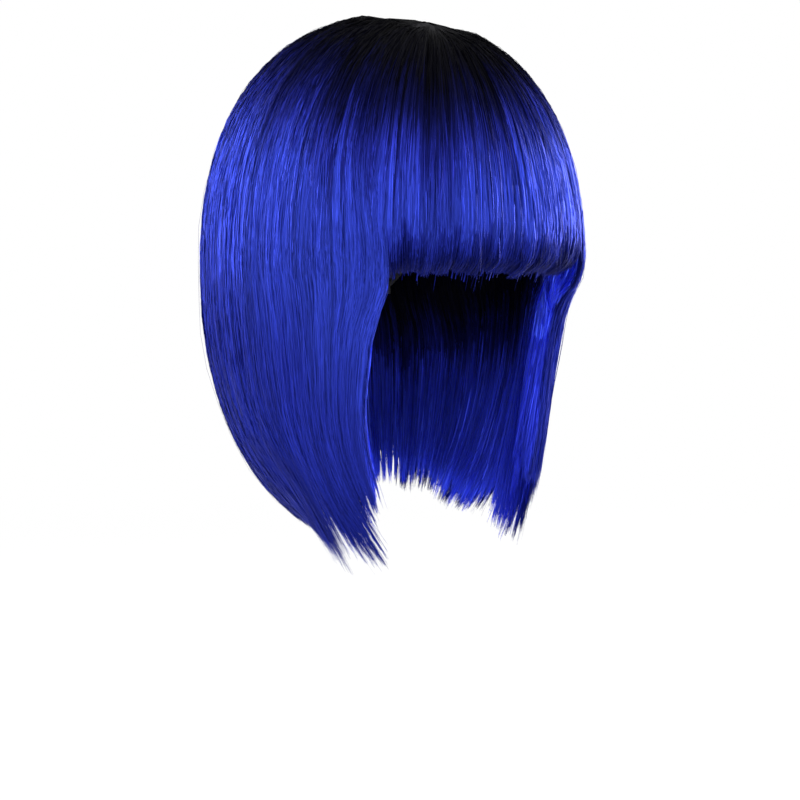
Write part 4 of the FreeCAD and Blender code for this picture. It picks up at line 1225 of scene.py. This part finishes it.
hook_at = head_spot(HOOK_AT, STRAP_Z, -HOOK_DEPTH)
hook_along = (head_spot(HOOK_AT + 8.0, STRAP_Z, -HOOK_DEPTH) - hook_at).normalized()
hook_out = hook_along.cross(head_spot(HOOK_AT, STRAP_Z + 0.0005, -HOOK_DEPTH) - hook_at).normalized()
hook_out = hook_out if hook_out.dot(hook_at) > 0 else -hook_out
for side, sign in SIDES:
    body = "strap_end_" + side
    at = np.linspace(STRAP_START, strap_last, 30) * sign
    strap = tape_piece(f"strap_{side}_elastic", [cap_line(at, STRAP_Z, STRAP_OUT)], STRAP_TAPE,
                       elastic, "elastic", body=None)
    start, end = (tuple(head_spot(angle * sign, STRAP_Z, STRAP_OUT)) for angle in (STRAP_START, strap_last))
    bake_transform(strap)
    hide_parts("strap_" + side)
    mirror = np.array((sign, 1.0, 1.0))
    ring_turn = np.radians(np.linspace(-168.0, 168.0, 25))[:, None]
    ring_out = np.array(hook_along) * np.cos(ring_turn) + np.array(hook_out) * np.sin(ring_turn)
    ring = (np.array(hook_at) + ring_out * LOOP_RADIUS) * mirror
    tape_piece(body + "_loop", [(ring, ring_out * mirror)], (STRAP_TAPE[0], LOOP_THICKNESS - 0.0001),
               elastic, "elastic", body, body=body)
    z = np.linspace(STRAP_Z - 0.004, STRAP_Z + 0.004, 9)
    bars = [cap_line((LADDER_START + LADDER_PITCH * step) * sign, z, LADDER_OUT) for step in range(4)]
    tape_piece(f"loop_ladder_{side}_thread", bars, LADDER_TAPE, black_thread, "elastic",
               "loop_ladder_" + side)


# ---- Steel: snap combs and hooks, and the tabs' plastic stays
# The combs are stamped and formed from blackened spring steel, and turn on end pivots in a sewn plate.
# The hooks are bent from enamelled wire, and the stays are cut from whitish plastic strip.
def metal_material(name, dark, light, rough, settings):
    """Worn dark metal: fine brushed scratches and lighter patches where it rubs."""
    material, metal, shader = new_material(name, settings)
    stretched = metal.node("ShaderNodeMapping", {}, {"Vector": metal.spot(), "Scale": (1.0, 1.0, 0.08)})
    scratch = metal.node("ShaderNodeTexNoise", {}, {"Vector": stretched, "Scale": 5000.0})
    wear = metal.noise(260.0).clear(0.52, 0.72)
    feed(shader, {"Base Color": (wear * 0.6 + scratch * 0.25).mix(dark, light),
                  "Roughness": rough + scratch * 0.18 + wear * 0.08, "Normal": scratch.bump(0.2, 0.00005)})
    return material


def paint_nodes(kind, sides, material):
    """Gives CAD nodes their finish: their shape is already right."""
    for side in sides:
        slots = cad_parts[kind + side].data.materials
        slots.clear()
        slots.append(material)


comb_steel = metal_material("comb_steel", (0.035, 0.035, 0.038), (0.16, 0.16, 0.165), 0.3, {"Metallic": 0.9})
hook_enamel = metal_material("hook_enamel", (0.012, 0.012, 0.013), (0.05, 0.05, 0.05), 0.28,
                             {"Coat Weight": 0.4})
stay_plastic, plastic, plastic_shader = new_material("stay_plastic", {"IOR": 1.49})
haze = plastic.noise(220.0)
feed(plastic_shader, {"Base Color": haze.mix((0.62, 0.62, 0.60), (0.78, 0.78, 0.76)),
                      "Roughness": 0.3 + haze * 0.2})
paint_nodes("comb_plate_", ("left", "right", "nape"), comb_steel)
paint_nodes("comb_leaf_", ("left", "right", "nape"), comb_steel)
paint_nodes("hook_", ("left", "right"), hook_enamel)
paint_nodes("ear_stay_", ("left", "right"), stay_plastic)
